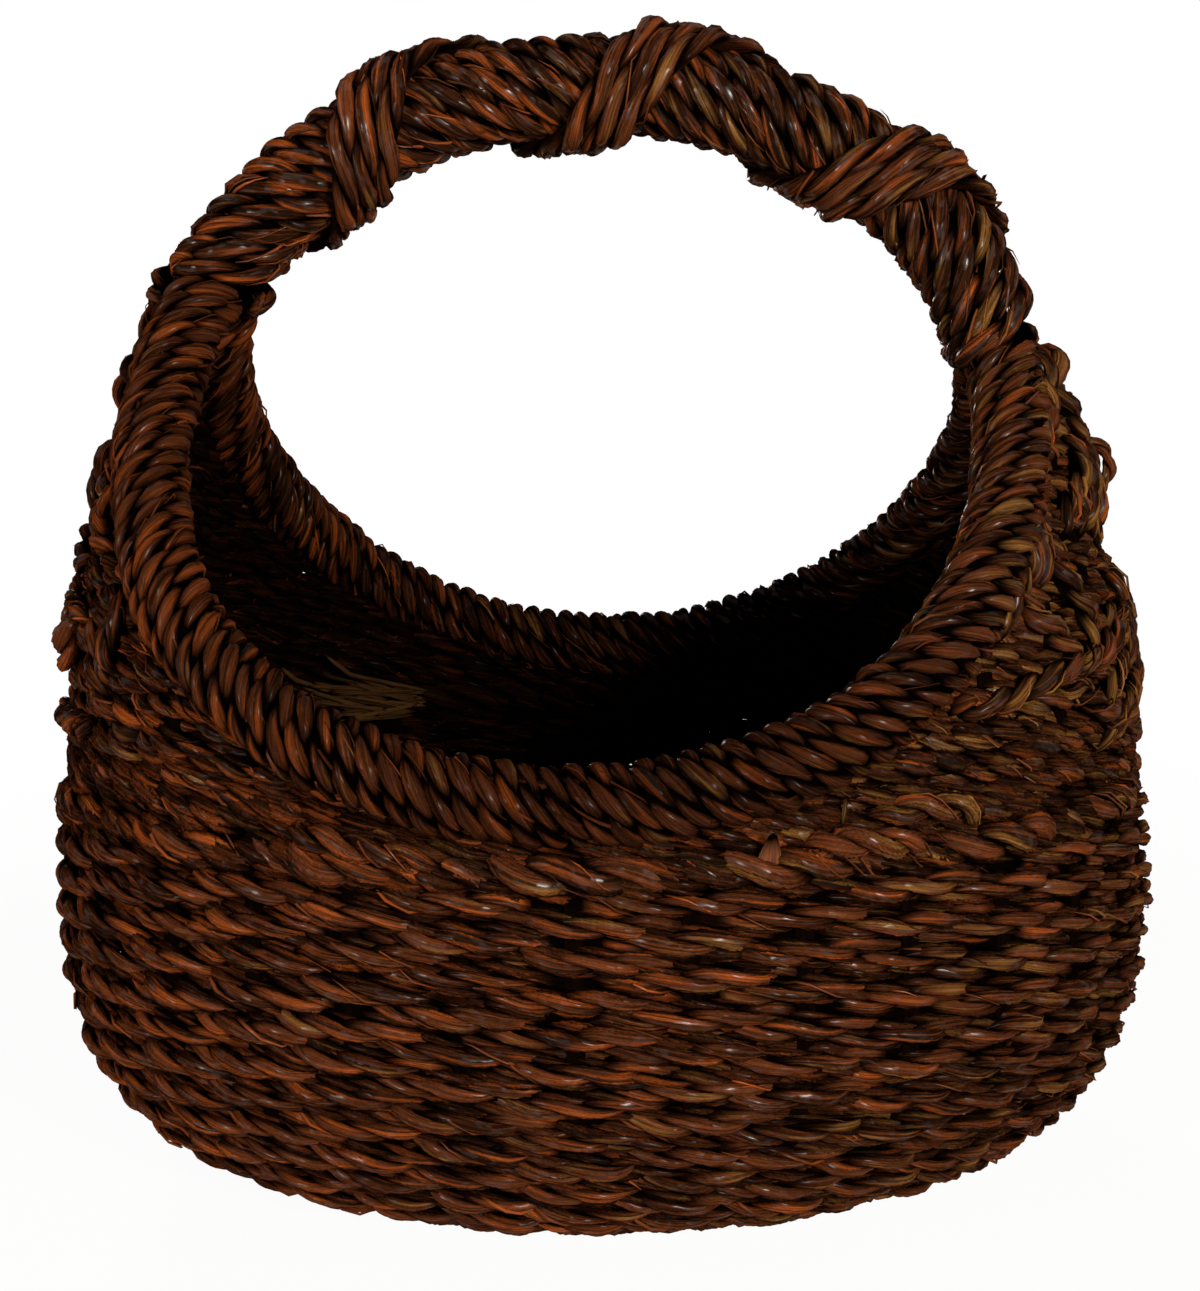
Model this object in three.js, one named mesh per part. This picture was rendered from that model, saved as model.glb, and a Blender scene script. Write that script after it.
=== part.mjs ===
// A hand basket for flower arranging, in dark varnished grass rope.
// Two cane hoops are bound side by side as the handle, spread apart below it and close the bowl as its rims.
// The bowl is woven in rows of rope, in front of and behind upright canes that start at an oval base mat.
// Millimetres, +Z up, origin on the floor under the middle of the bowl, front of the basket towards -Y.
import * as THREE from "three";

// Hoops: the bent canes that make the handle and the two rims
const HOOP_HALF_WIDTH = 98; // centreline, at the middle height of the hoop
const HANDLE_TOP_Z = 258.5; // centreline, at the top of the handle
const RIM_LOW_Z = 107; // centreline, at the middle of the front and back rims
const RIM_REACH_Y = 95; // how far each hoop stands out from the middle there
const LEFT_FORK_Z = 224; // height where the hoops begin to part, left of the handle
const RIGHT_FORK_Z = 204;
const SPREAD_EASE = 0.9; // how soon the hoops part below a fork
const HOOP_CANE_RADIUS = 4.2;
const HANDLE_PACKING_RADIUS = 6.4; // cane with its padding, inside the handle's binding

// Rope wound on the hoops and round the handle
const WRAP_ROPE_THICK = 4;
const HOOP_WRAP_LOOPS = 20; // loops of each winding from a fork to the middle of a rim
const HANDLE_WRAP_LOOPS = 22;
const WRAP_LOOP_GAP = 0.75; // between neighbouring loops, along the hoop
const HOOP_WRAP_LEAN = 4.5; // how far the outer side of a loop leads the inner side
const HANDLE_WRAP_LEAN = 5;
const LEAN_RAMP = 25; // length over which the lean grows from an end of a winding

// Band of ropes that spirals over the handle's binding
const BAND_ROPES = 3;
const BAND_ROPE_WIDTH = 5.4;
const BAND_ROPE_THICK = 3.4;
const BAND_ROPE_GAP = 0.8;
const BAND_TURNS = 3.2;
const BAND_END_MARGIN = 9; // from an end of the binding to the band

// Bowl: the middle surface of the woven wall
const BELLY_HALF_WIDTH = 132;
const BELLY_HALF_DEPTH = 100;
const BELLY_Z = 58;
const BASE_HALF_WIDTH = 94;
const BASE_HALF_DEPTH = 70;
const RIM_HALF_WIDTH = 128; // at the height of the rims' middle
const GORE_TOP_HALF_WIDTH = 104; // at the height of the gores' top
const GORE_TOP_Z = 205;
const GORE_TAPER = 1.35; // how the gores draw in with height

// Weave
const STAKE_COUNT = 30;
const STAKE_WIDTH = 4;
const STAKE_THICK = 1.4;
const ROW_ROPE_HEIGHT = 6.8;
const ROW_ROPE_THICK = 5.2;
const BORDER_ROPE_HEIGHT = 8;
const BORDER_ROPE_THICK = 5.6;
const ROW_GAP = 0.9; // least gap between neighbouring rows
const GORE_ROPE_HEIGHT = 8;
const GORE_ROPE_THICK = 4.8;
const GORE_ROW_MIN_LENGTH = 26; // a gore stops where its rows would be shorter

// Base mat
const MAT_THICK = 8;
const MAT_EDGE_RADIUS = 2;
const MAT_COILS = 8;
const MAT_COIL_DEPTH = 2.4; // of the grooves between coils

// Fits
const CLEARANCE = 0.35; // between pieces that bear on each other
const FLOOR_CLEARANCE = 0.35; // under the lowest row, which the mat keeps off the floor

// Facets
const CORE_STEPS = 40;
const CORE_SIDES = 6;
const HOOP_LOOP_STEPS = 6;
const END_ARC_POINTS = 4; // facet corners on each rounded end of the handle's section
const LENGTH_STEPS = 1440; // steps that a hoop's length is measured by
const PROFILE_STEPS = 600;
const HALVINGS = 40; // steps in which a height is closed in on
const GORE_SEARCH_STEP = 0.5; // steps in which a gore's rope feels for a hoop
const STAKE_END_TOLERANCE = 0.02; // share of its last stretch to which a stake's end is found
const TURN_STEP = 1e-4; // angle over which the direction along a row is measured
const MAT_STEPS = 24;

const LEFT = -1;
const RIGHT = 1;
const FRONT = -1;
const BACK = 1;

const HOOP_CENTRE_Z = (HANDLE_TOP_Z + RIM_LOW_Z) / 2;
const HOOP_HALF_HEIGHT = (HANDLE_TOP_Z - RIM_LOW_Z) / 2;
const HANDLE_CORE_Y = HANDLE_PACKING_RADIUS + CLEARANCE / 2;
const ROW_SWING = (STAKE_THICK + ROW_ROPE_THICK) / 2 + CLEARANCE;
const BORDER_SWING = (STAKE_THICK + BORDER_ROPE_THICK) / 2 + CLEARANCE;
const ROW_PITCH = ROW_ROPE_HEIGHT + ROW_GAP;
const GORE_SWING = (STAKE_THICK + GORE_ROPE_THICK) / 2 + CLEARANCE;
const GORE_PITCH = GORE_ROPE_HEIGHT + ROW_GAP;
const BASE_Z = ROW_SWING + ROW_ROPE_THICK / 2 + FLOOR_CLEARANCE;

// A loop's rope centre runs on a polygon round the cane, so its corners stand further out than its flats.
const HOOP_WRAP_RADIUS =
  (HOOP_CANE_RADIUS + CLEARANCE + WRAP_ROPE_THICK / 2) / Math.cos(Math.PI / HOOP_LOOP_STEPS);
const HOOP_OUTER_RADIUS = HOOP_WRAP_RADIUS + WRAP_ROPE_THICK / 2;
const END_ARC_STEP = Math.PI / END_ARC_POINTS;
const HANDLE_WRAP_RADIUS =
  (HANDLE_PACKING_RADIUS + CLEARANCE + WRAP_ROPE_THICK / 2) / Math.cos(END_ARC_STEP / 2);
const HANDLE_OUTER_RADIUS = HANDLE_WRAP_RADIUS + WRAP_ROPE_THICK / 2;
const BAND_RADIUS = HANDLE_OUTER_RADIUS + BAND_ROPE_THICK / 2 + CLEARANCE / Math.cos(END_ARC_STEP / 2);
const STAKE_STOP = HOOP_OUTER_RADIUS + CLEARANCE;
const BORDER_Z = RIM_LOW_Z - HOOP_OUTER_RADIUS - CLEARANCE - BORDER_ROPE_HEIGHT / 2;

const smoothstep = (u) => u * u * (3 - 2 * u);
const clamp01 = (u) => Math.min(1, Math.max(0, u));
const mix = (a, b, k) => a + (b - a) * k;
const forkHeight = (side) => (side === LEFT ? LEFT_FORK_Z : RIGHT_FORK_Z);

// How far a hoop stands out from the middle of the basket at height z.
function hoopSpread(z, side) {
  const fork = forkHeight(side);
  const below = clamp01((fork - z) / (fork - RIM_LOW_Z));
  return mix(HANDLE_CORE_Y, RIM_REACH_Y, smoothstep(below ** SPREAD_EASE));
}

// Height at which two wrapped hoops are just clear of each other: the binding ends there.
function junctionHeight(side) {
  const wanted = HOOP_OUTER_RADIUS + CLEARANCE;
  let high = forkHeight(side);
  let low = RIM_LOW_Z;
  for (let k = 0; k < HALVINGS; k++) {
    const z = (high + low) / 2;
    if (hoopSpread(z, side) < wanted) high = z;
    else low = z;
  }
  return low;
}

// Centreline of a hoop, from the top of the handle down the left arm, along the rim and up the right arm.
// A facing of 0 gives the line midway between the two hoops.
class HoopLine extends THREE.Curve {
  constructor(facing) {
    super();
    this.facing = facing;
    this.arcLengthDivisions = LENGTH_STEPS;
  }

  getPoint(t, target = new THREE.Vector3()) {
    const turn = 2 * Math.PI * t;
    const x = -HOOP_HALF_WIDTH * Math.sin(turn);
    const z = HOOP_CENTRE_Z + HOOP_HALF_HEIGHT * Math.cos(turn);
    return target.set(x, this.facing * hoopSpread(z, x < 0 ? LEFT : RIGHT), z);
  }

  // Distance along the hoop to the place at height z on one side.
  lengthTo(z, side) {
    const angle = Math.acos((z - HOOP_CENTRE_Z) / HOOP_HALF_HEIGHT);
    const t = (side === LEFT ? angle : 2 * Math.PI - angle) / (2 * Math.PI);
    return this.getLengths()[Math.round(t * LENGTH_STEPS)];
  }

  // Point at a distance along the hoop, with the directions away from the hoop's middle and to the back.
  frameAt(length) {
    const whole = this.getLength();
    const u = (((length % whole) + whole) % whole) / whole;
    const point = this.getPointAt(u);
    const along = this.getTangentAt(u);
    const out = new THREE.Vector3(point.x, 0, point.z - HOOP_CENTRE_Z);
    out.addScaledVector(along, -out.dot(along)).normalize();
    return { point, out, back: along.clone().cross(out) };
  }
}

const frontHoop = new HoopLine(FRONT);
const backHoop = new HoopLine(BACK);
const handleLine = new HoopLine(0);

// Closed surface through rings of points, with flat ends unless the last ring joins the first.
function solidThroughRings(rings, joined = false) {
  const sides = rings[0].length;
  const index = [];
  const spans = joined ? rings.length : rings.length - 1;
  for (let i = 0; i < spans; i++) {
    const here = i * sides;
    const there = ((i + 1) % rings.length) * sides;
    for (let j = 0; j < sides; j++) {
      const k = (j + 1) % sides;
      index.push(here + j, there + j, there + k, here + j, there + k, here + k);
    }
  }
  if (!joined) {
    const last = (rings.length - 1) * sides;
    for (let j = 1; j < sides - 1; j++) {
      index.push(0, j, j + 1);
      index.push(last, last + j + 1, last + j);
    }
  }
  const points = rings.flat();
  const turned = signedVolume(points, index) < 0;
  const geometry = new THREE.BufferGeometry().setFromPoints(points);
  geometry.setIndex(turned ? index.reverse() : index);
  geometry.computeVertexNormals();
  return geometry;
}

function signedVolume(points, index) {
  let sum = 0;
  const cross = new THREE.Vector3();
  for (let i = 0; i < index.length; i += 3) {
    cross.crossVectors(points[index[i + 1]], points[index[i + 2]]);
    sum += points[index[i]].dot(cross);
  }
  return sum / 6;
}

// Section of a wrapped rope: flat on what it lies on, narrower on its outer side. Width runs along the hoop.
const wrapSection = (width, thick) => [
  { along: -width / 2, out: -thick / 2 },
  { along: width / 2, out: -thick / 2 },
  { along: width / 4, out: thick / 2 },
  { along: -width / 4, out: thick / 2 },
];

// Section of a woven rope: out is along the wall's normal, up along the wall.
const ropeSection = (height, thick) => [
  { out: thick / 2, up: 0 },
  { out: 0, up: height / 2 },
  { out: -thick / 2, up: 0 },
  { out: 0, up: -height / 2 },
];

// Corners that a loop passes: round one hoop, or round both hoops with a rounded end at each.
function singleLoop(radius) {
  return Array.from({ length: HOOP_LOOP_STEPS }, (_, k) => ({
    angle: (2 * Math.PI * k) / HOOP_LOOP_STEPS,
    end: 0,
    radius,
  }));
}

function doubleLoop(radius) {
  const corners = [];
  for (const end of [BACK, FRONT]) {
    for (let k = 0; k < END_ARC_POINTS; k++) {
      const angle = (k + 0.5) * END_ARC_STEP + (end === BACK ? 0 : Math.PI);
      corners.push({ angle, end, radius });
    }
  }
  return corners;
}

// Rings of points of a rope wound on a hoop line, from one length along it to another.
function windingRings({ line, from, to, turns, corners, section, lean, way, coreOffset }) {
  const steps = Math.round(turns * corners.length);
  const rings = [];
  for (let k = 0; k <= steps; k++) {
    const place = way > 0 ? k : steps - k;
    const corner = corners[place % corners.length];
    const centre = mix(from, to, k / steps);
    rings.push(
      section.map(({ along, out }) => {
        const level = centre + along;
        const { point, out: outward, back } = line.frameAt(level + lean(level) * Math.cos(corner.angle));
        const reach = corner.radius + out;
        return point
          .clone()
          .addScaledVector(outward, reach * Math.cos(corner.angle))
          .addScaledVector(back, reach * Math.sin(corner.angle) + corner.end * coreOffset(point));
      }),
    );
  }
  return rings;
}

// The same rings with each end of the rope cut back a little along it.
function cutBack(rings, length) {
  const cut = (end, next) => {
    const share = length / end[0].distanceTo(next[0]);
    return end.map((point, j) => point.clone().lerp(next[j], share));
  };
  return [cut(rings[0], rings[1]), ...rings.slice(1, -1), cut(rings.at(-1), rings.at(-2))];
}

// Least distance between points of a winding that lie half a loop or more apart along it.
function leastSelfGap(rings, loopSteps) {
  let least = Infinity;
  const apart = Math.ceil(loopSteps / 2);
  rings.forEach((ring, i) => {
    const last = Math.min(rings.length, i + 2 * loopSteps);
    for (let k = i + apart; k < last; k++) {
      for (const p of ring) for (const q of rings[k]) least = Math.min(least, p.distanceTo(q));
    }
  });
  return least;
}

const basket = new THREE.Group();

function addPiece(name, geometry, material) {
  const mesh = new THREE.Mesh(geometry, material());
  mesh.name = name;
  basket.add(mesh);
}

const varnishedRope = (color) => () => new THREE.MeshStandardMaterial({ color, roughness: 0.42, metalness: 0 });
const wrapRope = varnishedRope(0x4a2817);
const bandRope = varnishedRope(0x5a3620);
const rowRope = varnishedRope(0x46260f);
const goreRopeFinish = varnishedRope(0x4d2f1a);
const bareCane = () => new THREE.MeshStandardMaterial({ color: 0x6b4827, roughness: 0.55, metalness: 0 });

// Hoop canes, padded where the binding holds the two together
function hoopCore(line) {
  const whole = line.getLength();
  const leftEnd = line.lengthTo(junctionHeight(LEFT), LEFT);
  const rightEnd = line.lengthTo(junctionHeight(RIGHT), RIGHT);
  const spacing = whole / CORE_STEPS;
  const rings = [];
  for (let k = 0; k < CORE_STEPS; k++) {
    const length = k * spacing;
    const inHandle = length < leftEnd - spacing / 2 || length > rightEnd + spacing / 2;
    const radius = inHandle ? HANDLE_PACKING_RADIUS : HOOP_CANE_RADIUS;
    const { point, out, back } = line.frameAt(length);
    rings.push(
      Array.from({ length: CORE_SIDES }, (_, j) => {
        const angle = (2 * Math.PI * j) / CORE_SIDES;
        return point
          .clone()
          .addScaledVector(out, radius * Math.cos(angle))
          .addScaledVector(back, radius * Math.sin(angle));
      }),
    );
  }
  return solidThroughRings(rings, true);
}

function addHoops() {
  addPiece("front_hoop_core", hoopCore(frontHoop), bareCane);
  addPiece("back_hoop_core", hoopCore(backHoop), bareCane);
}

function addWinding(name, material, winding) {
  const rings = cutBack(windingRings(winding), CLEARANCE);
  const gap = leastSelfGap(rings, winding.corners.length);
  console.log(`${name}: least gap to itself ${gap.toFixed(2)} mm`);
  addPiece(name, solidThroughRings(rings), material);
}

// Rope wound on each free stretch of a hoop, from a fork to the middle of the rim
function addHoopWraps() {
  const hoops = [
    ["front_hoop_wrap", frontHoop],
    ["back_hoop_wrap", backHoop],
  ];
  for (const [name, line] of hoops) {
    const top = line.lengthTo(junctionHeight(LEFT), LEFT);
    const middle = line.getLength() / 2;
    const end = line.lengthTo(junctionHeight(RIGHT), RIGHT);
    const lean = (length) => HOOP_WRAP_LEAN * smoothstep(clamp01(Math.min(length - top, end - length) / LEAN_RAMP));
    // Each winding starts half a loop below its fork, and the two meet end to end at the rim's middle.
    const leftPitch = (middle - top) / (HOOP_WRAP_LOOPS + 0.5);
    const rightPitch = (end - middle) / (HOOP_WRAP_LOOPS + 0.5);
    const stretches = [
      { side: "left", from: top + leftPitch / 2, to: middle, pitch: leftPitch },
      { side: "right", from: middle, to: end - rightPitch / 2, pitch: rightPitch },
    ];
    for (const { side, from, to, pitch } of stretches) {
      addWinding(`${name}_${side}`, wrapRope, {
        line,
        from,
        to,
        turns: HOOP_WRAP_LOOPS,
        corners: singleLoop(HOOP_WRAP_RADIUS),
        section: wrapSection(pitch - WRAP_LOOP_GAP, WRAP_ROPE_THICK),
        lean,
        way: 1,
        coreOffset: () => 0,
      });
    }
  }
}

// Rope that binds the two hoops into one handle, and the band of ropes over it
function addHandle() {
  const whole = handleLine.getLength();
  const start = handleLine.lengthTo(junctionHeight(RIGHT), RIGHT) - whole;
  const finish = handleLine.lengthTo(junctionHeight(LEFT), LEFT);
  const coreOffset = ({ x, z }) => hoopSpread(z, x < 0 ? LEFT : RIGHT);
  const lean = (length) =>
    HANDLE_WRAP_LEAN * smoothstep(clamp01(Math.min(length - start, finish - length) / LEAN_RAMP));
  const pitch = (finish - start) / (HANDLE_WRAP_LOOPS + 1);
  addWinding("handle_wrap", wrapRope, {
    line: handleLine,
    from: start + pitch / 2,
    to: finish - pitch / 2,
    turns: HANDLE_WRAP_LOOPS,
    corners: doubleLoop(HANDLE_WRAP_RADIUS),
    section: wrapSection(pitch - WRAP_LOOP_GAP, WRAP_ROPE_THICK),
    lean,
    way: 1,
    coreOffset,
  });
  const bandStep = BAND_ROPE_WIDTH + BAND_ROPE_GAP;
  for (let k = 0; k < BAND_ROPES; k++) {
    addWinding(`handle_band_${k + 1}`, bandRope, {
      line: handleLine,
      from: start + BAND_END_MARGIN + k * bandStep,
      to: finish - BAND_END_MARGIN - (BAND_ROPES - 1 - k) * bandStep,
      turns: BAND_TURNS,
      corners: doubleLoop(BAND_RADIUS),
      section: wrapSection(BAND_ROPE_WIDTH, BAND_ROPE_THICK),
      lean: () => 0,
      way: -1,
      coreOffset,
    });
  }
}

// Half-width and half-depth of the wall's middle surface at a height, on one side of the basket.
// Below the belly the wall rounds in to the base mat, above it draws in to the rims and the gores' top.
function wallSize(z, side) {
  if (z <= BELLY_Z) {
    const reach = Math.sqrt(Math.max(0, 1 - ((BELLY_Z - z) / (BELLY_Z - BASE_Z)) ** 2));
    return {
      halfWidth: mix(BASE_HALF_WIDTH, BELLY_HALF_WIDTH, reach),
      halfDepth: mix(BASE_HALF_DEPTH, BELLY_HALF_DEPTH, reach),
    };
  }
  if (z <= RIM_LOW_Z) {
    const rise = ((z - BELLY_Z) / (RIM_LOW_Z - BELLY_Z)) ** 2;
    return {
      halfWidth: mix(BELLY_HALF_WIDTH, RIM_HALF_WIDTH, rise),
      halfDepth: mix(BELLY_HALF_DEPTH, RIM_REACH_Y, rise),
    };
  }
  const rise = ((z - RIM_LOW_Z) / (GORE_TOP_Z - RIM_LOW_Z)) ** GORE_TAPER;
  const halfWidth = mix(RIM_HALF_WIDTH, GORE_TOP_HALF_WIDTH, rise);
  const hoopX = HOOP_HALF_WIDTH * Math.sqrt(Math.max(0, 1 - ((z - HOOP_CENTRE_Z) / HOOP_HALF_HEIGHT) ** 2));
  return { halfWidth, halfDepth: hoopSpread(z, side) / Math.sqrt(1 - (hoopX / halfWidth) ** 2) };
}

function wallPoint(angle, z) {
  const { halfWidth, halfDepth } = wallSize(z, Math.cos(angle) < 0 ? LEFT : RIGHT);
  return new THREE.Vector3(halfWidth * Math.cos(angle), halfDepth * Math.sin(angle), z);
}

// Angles that divide the bowl's widest oval into equal lengths, and the angle a given length along it.
const ovalTable = (() => {
  const lengths = [0];
  const size = wallSize(BELLY_Z, RIGHT);
  const at = (k) => {
    const angle = (2 * Math.PI * k) / LENGTH_STEPS;
    return new THREE.Vector2(size.halfWidth * Math.cos(angle), size.halfDepth * Math.sin(angle));
  };
  for (let k = 1; k <= LENGTH_STEPS; k++) lengths.push(lengths[k - 1] + at(k).distanceTo(at(k - 1)));
  return lengths;
})();
const OVAL_LENGTH = ovalTable[LENGTH_STEPS];
const STAKE_SPACING = OVAL_LENGTH / STAKE_COUNT;

function angleAtLength(length) {
  const turns = Math.floor(length / OVAL_LENGTH);
  const rest = length - turns * OVAL_LENGTH;
  const k = ovalTable.findIndex((passed) => passed >= rest);
  if (k <= 0) return 2 * Math.PI * turns;
  const part = (rest - ovalTable[k - 1]) / (ovalTable[k] - ovalTable[k - 1]);
  return 2 * Math.PI * (turns + (k - 1 + part) / LENGTH_STEPS);
}

const stakeLength = (i) => (i + 0.5) * STAKE_SPACING;

// Heights that part the rows: equal steps up the front of the wall, as many as leave each row its pitch.
function rowLevels() {
  const top = BORDER_Z - BORDER_ROPE_HEIGHT / 2 - ROW_GAP / 2;
  const heights = [];
  const lengths = [0];
  let before = null;
  for (let k = 0; k <= PROFILE_STEPS; k++) {
    // Steps close up towards the base, where the wall runs nearly level.
    const z = mix(BASE_Z, top, (k / PROFILE_STEPS) ** 2);
    const here = new THREE.Vector2(wallSize(z, RIGHT).halfDepth, z);
    if (before) lengths.push(lengths[k - 1] + here.distanceTo(before));
    heights.push(z);
    before = here;
  }
  const whole = lengths[PROFILE_STEPS];
  const count = Math.floor(whole / ROW_PITCH);
  return Array.from({ length: count + 1 }, (_, k) => {
    const wanted = (whole * k) / count;
    return heights[lengths.findLastIndex((passed) => passed <= wanted)];
  });
}

const ROW_LEVELS = rowLevels();
const BORDER_LEVELS = [ROW_LEVELS.at(-1), BORDER_Z + BORDER_ROPE_HEIGHT / 2 + ROW_GAP / 2];

// Place on the wall between two levels, with the directions out of the wall, up it and along the row.
function wallFrame(angle, low, high) {
  const foot = wallPoint(angle, low);
  const head = wallPoint(angle, high);
  const up = head.clone().sub(foot).normalize();
  const middle = (low + high) / 2;
  const along = wallPoint(angle + TURN_STEP, middle).sub(wallPoint(angle - TURN_STEP, middle)).normalize();
  const out = along.clone().cross(up).normalize();
  return { point: foot.add(head).multiplyScalar(0.5), out, up, along };
}

const ringOf = ({ point, out, across }, swing, section) =>
  section.map((corner) =>
    point
      .clone()
      .addScaledVector(out, swing + corner.out)
      .addScaledVector(across, corner.up),
  );

// A row passes each stake on a short straight bearing, and crosses over to the other side of the next one.
const BEARING = STAKE_WIDTH / 2 + CLEARANCE;

function rowRing(low, high, section, swing, firstSide) {
  const rings = [];
  for (let i = 0; i < STAKE_COUNT; i++) {
    const side = i % 2 === 0 ? firstSide : -firstSide;
    for (const step of [-BEARING, BEARING]) {
      const { point, out, up } = wallFrame(angleAtLength(stakeLength(i) + step), low, high);
      rings.push(ringOf({ point, out, across: up }, side * swing, section));
    }
  }
  return solidThroughRings(rings, true);
}

function addRows() {
  const section = ropeSection(ROW_ROPE_HEIGHT, ROW_ROPE_THICK);
  for (let k = 0; k < ROW_LEVELS.length - 1; k++) {
    const name = `weave_row_${String(k + 1).padStart(2, "0")}`;
    const firstSide = k % 2 === 0 ? 1 : -1;
    addPiece(name, rowRing(ROW_LEVELS[k], ROW_LEVELS[k + 1], section, ROW_SWING, firstSide), rowRope);
  }
  const firstSide = ROW_LEVELS.length % 2 === 1 ? 1 : -1;
  const borderSection = ropeSection(BORDER_ROPE_HEIGHT, BORDER_ROPE_THICK);
  addPiece("rim_border", rowRing(...BORDER_LEVELS, borderSection, BORDER_SWING, firstSide), rowRope);
}

// Distance from a point to the nearer hoop's centreline.
const hoopPoints = [frontHoop, backHoop].flatMap((line) => line.getSpacedPoints(LENGTH_STEPS / 4));
const distanceToHoops = (point) => Math.min(...hoopPoints.map((p) => p.distanceTo(point)));

// Gores: the rope of each side goes to and fro between the hoops, a row at a time, up towards the fork.
const GORE_FIRST_Z = BORDER_LEVELS[1];
const GORE_REACH = HOOP_OUTER_RADIUS + CLEARANCE + GORE_ROPE_HEIGHT / 2;

// Furthest place along a row, from the middle of a side towards one hoop, that is clear of the hoops.
function goreReach(side, low, high, towards) {
  const middle = (side === RIGHT ? 0 : OVAL_LENGTH / 2) + OVAL_LENGTH;
  for (let reach = 0; reach < OVAL_LENGTH / 4; reach += GORE_SEARCH_STEP) {
    const { point, out } = wallFrame(angleAtLength(middle + towards * reach), low, high);
    if (distanceToHoops(point.addScaledVector(out, GORE_SWING)) < GORE_REACH) return reach - GORE_SEARCH_STEP;
  }
  return OVAL_LENGTH / 4;
}

function goreRows(side) {
  const rows = [];
  for (let low = GORE_FIRST_Z; low + GORE_PITCH < forkHeight(side); low += GORE_PITCH) {
    const high = low + GORE_PITCH;
    const reach = { [FRONT]: goreReach(side, low, high, FRONT), [BACK]: goreReach(side, low, high, BACK) };
    if (reach[FRONT] + reach[BACK] < GORE_ROW_MIN_LENGTH) break;
    rows.push({ low, high, reach });
  }
  return rows;
}

// Turning the rope back on itself takes a half circle between two rows, with three facet corners.
const GORE_TURN_CORNERS = [-90, 0, 90].map(THREE.MathUtils.degToRad);

function goreRope(side) {
  const rows = goreRows(side);
  const section = ropeSection(GORE_ROPE_HEIGHT, GORE_ROPE_THICK);
  const middle = (side === RIGHT ? 0 : OVAL_LENGTH / 2) + OVAL_LENGTH;
  const turnRadius = GORE_PITCH / 2;
  const endInset = turnRadius + GORE_ROPE_HEIGHT / 2;
  const rings = [];
  rows.forEach((row, k) => {
    const towards = k % 2 === 0 ? BACK : FRONT;
    const next = rows[k + 1] ?? row;
    const start = middle - towards * (row.reach[-towards] - endInset);
    const finish = middle + towards * (next.reach[towards] - endInset);
    const addRing = (length, swing) => {
      const { point, out, up } = wallFrame(angleAtLength(length), row.low, row.high);
      rings.push(ringOf({ point, out, across: up.multiplyScalar(towards) }, swing, section));
    };
    if (k === 0) addRing(start, GORE_SWING);
    for (const { length, swing } of goreBearings(start, finish, towards, k)) addRing(length, swing);
    if (next === row) {
      addRing(finish, GORE_SWING);
      return;
    }
    for (const turn of GORE_TURN_CORNERS) {
      const length = finish + towards * turnRadius * Math.cos(turn);
      const { point, out, up, along } = wallFrame(angleAtLength(length), row.high - turnRadius, row.high + turnRadius);
      point.addScaledVector(up, turnRadius * Math.sin(turn));
      const heading = along.multiplyScalar(-towards * Math.sin(turn)).addScaledVector(up, Math.cos(turn));
      rings.push(ringOf({ point, out, across: out.clone().cross(heading) }, GORE_SWING, section));
    }
  });
  return solidThroughRings(rings);
}

// Where a gore's rope bears on the stakes that it passes, in the order that it meets them. The rope turns outside the
// wall, so it passes inside only where there is room to cross over on both sides of the stake.
function goreBearings(start, finish, towards, row) {
  const room = BEARING + STAKE_SPACING / 2;
  const bearings = [];
  for (let i = 0; i < 3 * STAKE_COUNT; i++) {
    const fromStart = (stakeLength(i) - start) * towards;
    const fromFinish = (finish - stakeLength(i)) * towards;
    const inside = (i + row) % 2 === 0 && fromStart > room && fromFinish > room;
    for (const step of [-BEARING, BEARING]) {
      if (fromStart + step * towards < GORE_SEARCH_STEP || fromFinish - step * towards < GORE_SEARCH_STEP) continue;
      bearings.push({ length: stakeLength(i) + step, swing: inside ? -GORE_SWING : GORE_SWING });
    }
  }
  return towards > 0 ? bearings : bearings.reverse();
}

function addGores() {
  addPiece("left_gore_rope", goreRope(LEFT), goreRopeFinish);
  addPiece("right_gore_rope", goreRope(RIGHT), goreRopeFinish);
}

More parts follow.
